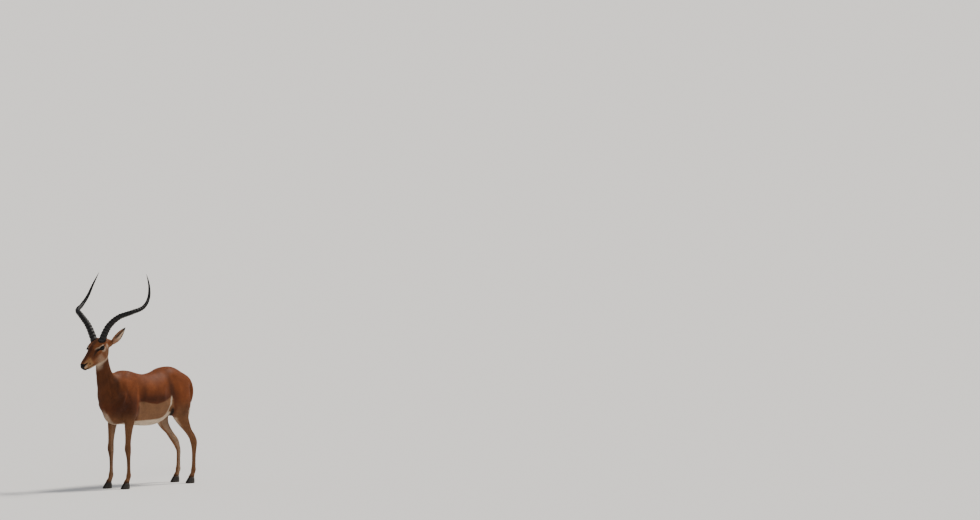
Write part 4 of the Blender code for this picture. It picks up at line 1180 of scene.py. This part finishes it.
# ---- ears: a thin cupped leaf with a black rim and tip, and pale hair inside
ears = {
    "length": 0.157, "width": 0.034, "place": (0.050, -0.004, -0.016),
    # which way each ear points, and which way its hollow faces
    "pose": {
        1: ((0.512, 0.441, 0.738), (0.80, -0.20, -0.435)), -1: ((-0.94, 0.00, -0.33), (-0.10, -0.95, -0.10)),
    },
    "shape": (  # along the ear, half width, depth of the hollow, thickness
        (-0.10, 0.42, 0.10, 0.016), (0.02, 0.52, 0.55, 0.0070), (0.14, 0.74, 0.70, 0.0046),
        (0.28, 0.94, 0.62, 0.0040), (0.42, 1.00, 0.50, 0.0036), (0.57, 0.92, 0.40, 0.0034),
        (0.72, 0.72, 0.30, 0.0032), (0.86, 0.42, 0.18, 0.0030), (0.95, 0.19, 0.08, 0.0028),
        (1.00, 0.06, 0.02, 0.0024),
    ),
    "rows": 70, "bows": 17, "tufts": {1: 6000, -1: 4200},  # on the back, in the hollow
    "tuftWidth": 0.0009, "tuftRise": 0.0007, "rootDepth": 0.0004,
}


def earFrame(side):  # root, along the ear, the way its hollow faces, across
    along, faces = (np.array(v, float) for v in ears["pose"][side])
    along = unit(along)
    faces = unit(faces - along * (faces @ along))
    out, forward, up = ears["place"]
    return fromHead(side * out, forward, up), along, faces, np.cross(along, faces)


def earPoint(side, at, bow, skinSide):  # at 0 root to 1 tip, bow -1..1 across, skinSide +1 back, -1 hollow
    root, along, faces, across = earFrame(side)
    stops, *shape = np.array(ears["shape"]).T
    wide, hollow, thick = (np.interp(at, stops, column) for column in shape)
    wide = wide * ears["width"]
    sag = (bow * bow - 0.45) * hollow * wide - skinSide * thick * 0.5 * (1 - 0.55 * bow * bow)
    parts = ((along, at * ears["length"]), (across, bow * wide), (faces, sag))
    return root + sum(way * size[..., None] for way, size in parts)


def earShade(at, bow, inside, way):
    leaf = Layers("earBack", len(at))
    lay = leaf.lay
    lay("earInside", inside, ease(1.0, 0.9, np.abs(bow)))
    lay("earBack", inside, ease(0.22, -0.08, bow * way), 0.9)
    lay("earBack", inside, ease(0.48, 0.18, at), 0.75)
    # a black wedge down the hollow: the ear's own dark lines and painted shade of the hollow
    wedge = 0.13 + 0.22 * at
    lay("black", inside, ease(wedge + 0.10, wedge, np.abs(bow * way - 0.12)), ease(0.12, 0.40, at), 0.9)
    lay("shade", inside, ease(0.35, 0.0, at), ease(0.7, 0.2, np.abs(bow)), 0.9)
    lay("shade", inside, ease(0.16, 0.07, np.abs(np.abs(bow) - 0.42)), ease(0.22, 0.40, at), 0.55)
    lay("cream", 1 - inside, ease(0.25, 0.0, at), 0.6)
    rim = ease(0.80, 0.95, np.abs(bow)) * ease(0.30, 0.55, at) * 0.85
    lay("black", np.maximum(rim, ease(0.78, 0.90, at)))
    return leaf.colour


def buildEar(side, word):
    rows = throughPoints(ears["shape"], ears["rows"])[:, 0]
    bows = np.sin(np.linspace(-1, 1, ears["bows"]) * math.pi / 2)
    at = np.repeat(rows[:, None], 2 * len(bows), 1)
    bow = np.tile(np.concatenate([bows[::-1], bows]), (len(rows), 1))
    skinSide = np.tile(np.repeat([1.0, -1.0], len(bows)), (len(rows), 1))
    leaf, faces = rolled(earPoint(side, at, bow, skinSide))
    colour = withEnds(earShade(at.ravel(), bow.ravel(), (skinSide.ravel() < 0) * 1.0, side))
    piece = makePiece("ear_leaf_" + word, leaf, faces, earSkin, colour)
    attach(piece, "root")
    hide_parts("ear_" + word)


def earTufts(side, skinSide, rng):  # short on the back, long and pale from the edges into the hollow
    count, step = ears["tufts"][skinSide], 0.004
    a = 1 - rng.uniform(0, 1, count) ** 0.85
    b = rng.uniform(-1, 1, count)
    if skinSide < 0:
        b = np.sign(b) * rng.uniform(0.30, 1, count)
    skinSides = np.full(count, float(skinSide))
    root = earPoint(side, a, b, skinSides)
    lengthwise = earPoint(side, a + step, b, skinSides) - root
    crosswise = earPoint(side, a, b + step, skinSides) - root
    normal = unit(np.cross(lengthwise, crosswise))
    normal = normal * (np.sign(normal @ earFrame(side)[2]) * -skinSide)[:, None]
    lie = unit(lengthwise)
    long = np.full(count, 0.0075)
    if skinSide < 0:
        lie = unit(lie + unit(crosswise) * (-np.sign(b) * 0.9)[:, None])
        long = 0.007 + 0.005 * ease(0.1, 0.5, a) * ease(0.9, 0.6, a)
    long = long * ease(1.02, 0.80, a) * rng.uniform(0.7, 1.2, count)
    colour = earShade(a, b * 0.97, (skinSides < 0) * 1.0, side)
    return root, normal, lie, long, np.full(count, ears["tuftWidth"]), colour, a, b


earSkin = coatMaterial("ear skin", 0.6, False)
for side, word in leftRight:
    buildEar(side, word)
    rng = np.random.default_rng(31 + side)
    both = [earTufts(side, skinSide, rng) for skinSide in ears["tufts"]]
    *tufts, a, b = (np.concatenate(values) for values in zip(*both))
    spots = np.stack([0.86 + 0.06 * (side > 0) + 0.02 * b, 0.66 + a * 0.10], 1)
    blades("ear_hair_" + word, *tufts, spots, ears["tuftRise"], ears["rootDepth"], rng)
print("ears: placed")


# ---- hooves
claw = {
    "shape": (  # height, heel, toe, half width on the inner side, half width on the outer side
        (0.000, 0.0250, 0.0450, 0.0089, 0.0118), (0.0012, 0.0260, 0.0460, 0.0095, 0.0125),
        (0.010, 0.027, 0.045, 0.0098, 0.0128), (0.024, 0.026, 0.035, 0.0098, 0.0122),
        (0.036, 0.023, 0.026, 0.0094, 0.0112), (0.0424, 0.020, 0.020, 0.0088, 0.0102),
    ),
    "sides": 36, "rows": 18, "top": 0.0424, "apart": 0.0106,  # from the leg's middle
}


def buildClaw(name, letter, outward):
    footX, footY = legRows(name)[-1][:2]
    stops, *shape = np.array(claw["shape"]).T
    c, s = circle(claw["sides"])
    outer = s * outward > 0
    narrow = 1 - 0.45 * np.maximum(c, 0) ** 2 * np.where(outer, 1, 0.25)
    loops = []
    for height in (0, 0.0004, 0.0012, *np.linspace(0.003, claw["top"], claw["rows"])):
        heel, toe, inWide, outWide = (np.interp(height, stops, column) for column in shape)
        growth = 1 + 0.010 * math.sin(height * 1900)  # faint rings
        x = np.where(outer, outWide, inWide) * s * narrow * growth + footX + outward * claw["apart"]
        y = np.where(c > 0, -toe * c, -heel * c) * growth + footY - 0.002 + height * 0.10
        loops.append(np.stack([x, y, np.full_like(x, height)], 1))
    piece = makePiece("claw_%s_%s" % (name, letter), *rolled(loops), hoofHorn.owner)
    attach(piece, "root")
    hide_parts("hoof_%s_%s" % (name, letter))


hoofHorn = newLook("hoof horn", 0.45, (0.02, 0.018, 0.016), 0.3)
grain = hoofHorn.noise(hoofHorn.place(), 420, 3, (1, 1, 0.12))
dust = {"A": (0.009, 0.008, 0.007, 1), "B": (0.040, 0.032, 0.025, 1), "Factor": grain}
hoofHorn.shade({"Base Color": hoofHorn.add("Mix", dust, "Result", data_type="RGBA")})
hoofHorn.bump(grain, 0.35, 0.0005)
for name in legs["stance"]:
    for letter, outward in (("a", 1), ("b", -1)):
        buildClaw(name, letter, outward)
print("hooves: placed")


# ---- tail: a thin core under long hair, white with a dark line down the middle
tail = {
    "line": (  # y, z, half width, half thickness
        (0.376, 0.770, 0.015, 0.010), (0.408, 0.766, 0.018, 0.012), (0.437, 0.736, 0.021, 0.013),
        (0.449, 0.688, 0.024, 0.014), (0.448, 0.630, 0.026, 0.015), (0.443, 0.570, 0.027, 0.015),
        (0.439, 0.515, 0.020, 0.011), (0.435, 0.478, 0.006, 0.005),
    ),
    "rows": 90, "sides": 28, "core": 0.72, "tufts": 9000, "long": 0.040, "wide": 0.0016, "rise": 0.0022,
    "rootDepth": 0.0004,
}


def tailShade(bow, at):  # bow -1..1 across, at 0 root to 1 tip
    hair = Layers("cream", len(bow))
    hair.colour = hair.colour * 1.15
    hair.lay("saddle", ease(0.30, 0.05, at))
    hair.lay("black", ease(0.42, 0.22, np.abs(bow)), ease(0.98, 0.86, at), 0.92)
    return hair.colour


def buildTail():
    rows = throughPoints([(0, *row) for row in tail["line"]], tail["rows"])
    along = unit(np.gradient(rows[:, :3], axis=0))
    across = np.array([1.0, 0, 0])
    behind = np.cross(along, across)
    c, s = circle(tail["sides"])
    wide, thick = (rows[:, 3:] * tail["core"]).T[:, :, None, None]
    loops = rows[:, None, :3] + wide * c[:, None] * across + thick * s[:, None] * behind[:, None]
    core, faces = rolled(loops)
    at = np.repeat(np.linspace(0, 1, tail["rows"]), tail["sides"])
    colour = tailShade(np.tile(np.where(s < 0, c, 1.0), tail["rows"]), at)
    # the core darker than its hair: painted shade under the hair
    piece = makePiece("tail_core", core, faces, earSkin, withEnds(colour) * 0.8)
    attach(piece, "root")
    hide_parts("tail")
    # hair
    rng = np.random.default_rng(5)
    at = rng.uniform(0.0, 0.90, tail["tufts"])
    a = rng.uniform(0, 2 * math.pi, tail["tufts"])
    low, f = np.divmod(at * (tail["rows"] - 1), 1)
    low, f = low.astype(int), f[:, None]
    row = rows[low] * (1 - f) + rows[low + 1] * f
    go = unit(along[low] * (1 - f) + along[low + 1] * f)
    back = unit(np.cross(go, across))
    sideways, backward = np.cos(a)[:, None] * across, np.sin(a)[:, None] * back
    wide, thick = row[:, 3:4], row[:, 4:5]
    roots = row[:, :3] + (wide * sideways + thick * backward) * tail["core"] * 0.90
    normal = unit(sideways / wide + backward / thick)
    lie = unit(go + sideways * 0.16 + backward * 0.05)
    long = tail["long"] * rng.uniform(0.6, 1.1, len(at))
    long = long * (1 - 0.45 * ease(0.55, 0.90, at)) * (0.45 + 0.55 * ease(0, 0.3, at))
    colour = tailShade(np.where(np.sin(a) < 0.2, np.cos(a), 1.0), at + 0.05)
    spots = np.stack([0.86 + a / 60, 0.80 + at * 0.12], 1)
    wide = np.full(len(at), tail["wide"])
    blades("tail_hair", roots, normal, lie, long, wide, colour, spots, tail["rise"], tail["rootDepth"], rng)


buildTail()
print("tail: placed")


# ---- floor, light and view
studio = {
    "floor": (0.78, 0.765, 0.745), "floorHalf": 900, "sky": (0.88, 0.92, 1.0), "skyStrength": 0.44,
    "key": {"from": (0.26, 0.62, 0.95), "strength": 3.9, "spread": 14, "colour": (1.0, 0.95, 0.87)},
    "fill": {"from": (0.75, -0.85, 0.55), "strength": 0.50, "spread": 22, "colour": (1.0, 0.98, 0.95)},
    "azimuth": 44.0, "height": 4.0, "distance": 40.33, "lens": 200, "sensor": 36,
    "picture": (980, 520), "stands": (0.1493, 0.0654),  # the feet's middle, in shares of the picture
    "cameraLift": 0.6, "sees": 3000,
}


def buildFloor():
    corners = np.array([[-1, -1, 0], [1, -1, 0], [1, 1, 0], [-1, 1, 0]]) * studio["floorHalf"] - shift
    floor = newLook("floor", 0.95, studio["floor"], 0.0).owner
    makePiece("floor", corners, [np.array([[0, 1, 2, 3]])], floor)


def addObject(name, data):
    thing = bpy.data.objects.new(name, data)
    bpy.context.scene.collection.objects.link(thing)
    return thing


def addSun(name, facts):  # gives back how much light it lays on the floor
    data = bpy.data.lights.new(name, "SUN")
    data.energy = facts["strength"]
    data.angle = math.radians(facts["spread"])
    data.color = facts["colour"]
    back = unit(facts["from"])
    addObject(name, data).rotation_euler = (math.acos(back[2]), 0, math.atan2(back[0], -back[1]))
    return np.array(facts["colour"]) * facts["strength"] * back[2] / math.pi


def buildSky(lit):  # what is seen of the sky is as bright as the floor is far away
    world = Look(bpy.data.worlds.new("studio"))
    bpy.context.scene.world = world.owner
    sky = np.array(studio["sky"]) * studio["skyStrength"]
    world.fill(world.nodes["Background"], {"Color": (*sky, 1)})
    seen = world.add("Background", {"Color": (*(np.array(studio["floor"]) * (lit + sky)), 1)}, "Background")
    rays = world.add("LightPath", {}, "Is Camera Ray")
    mixed = world.add("MixShader", {0: rays, 1: world.nodes["Background"].outputs[0], 2: seen}, "Shader")
    world.fill(world.nodes["World Output"], {"Surface": mixed})


def heading(yaw, pitch):  # yaw 0 looks along +Y
    return np.array([math.sin(yaw) * math.cos(pitch), math.cos(yaw) * math.cos(pitch), math.sin(pitch)])


def aimedCamera():
    back = -heading(-math.radians(studio["azimuth"]), -math.radians(studio["height"]))
    place = shift + np.array([0, 0, studio["cameraLift"]]) + back * studio["distance"]
    wide = studio["lens"] / studio["sensor"]
    tall = wide * studio["picture"][0] / studio["picture"][1]
    toward = shift - place
    yaw, pitch = math.atan2(toward[0], toward[1]), math.atan2(toward[2], math.hypot(toward[0], toward[1]))
    for _ in range(8):  # turns until the middle of the feet falls on its share of the picture
        forward = heading(yaw, pitch)
        right = np.array([math.cos(yaw), -math.sin(yaw), 0])
        ahead = toward @ forward
        yaw -= (studio["stands"][0] - 0.5) / wide - toward @ right / ahead
        pitch -= (studio["stands"][1] - 0.5) / tall - toward @ np.cross(right, forward) / ahead
    data = bpy.data.cameras.new("camera")
    data.lens, data.sensor_width, data.clip_end = studio["lens"], studio["sensor"], studio["sees"]
    camera = addObject("camera", data)
    camera.location = place
    camera.rotation_euler = (math.pi / 2 + pitch, 0, -yaw)
    bpy.context.scene.camera = camera


buildFloor()
buildSky(addSun("key", studio["key"]) + addSun("fill", studio["fill"]))
aimedCamera()
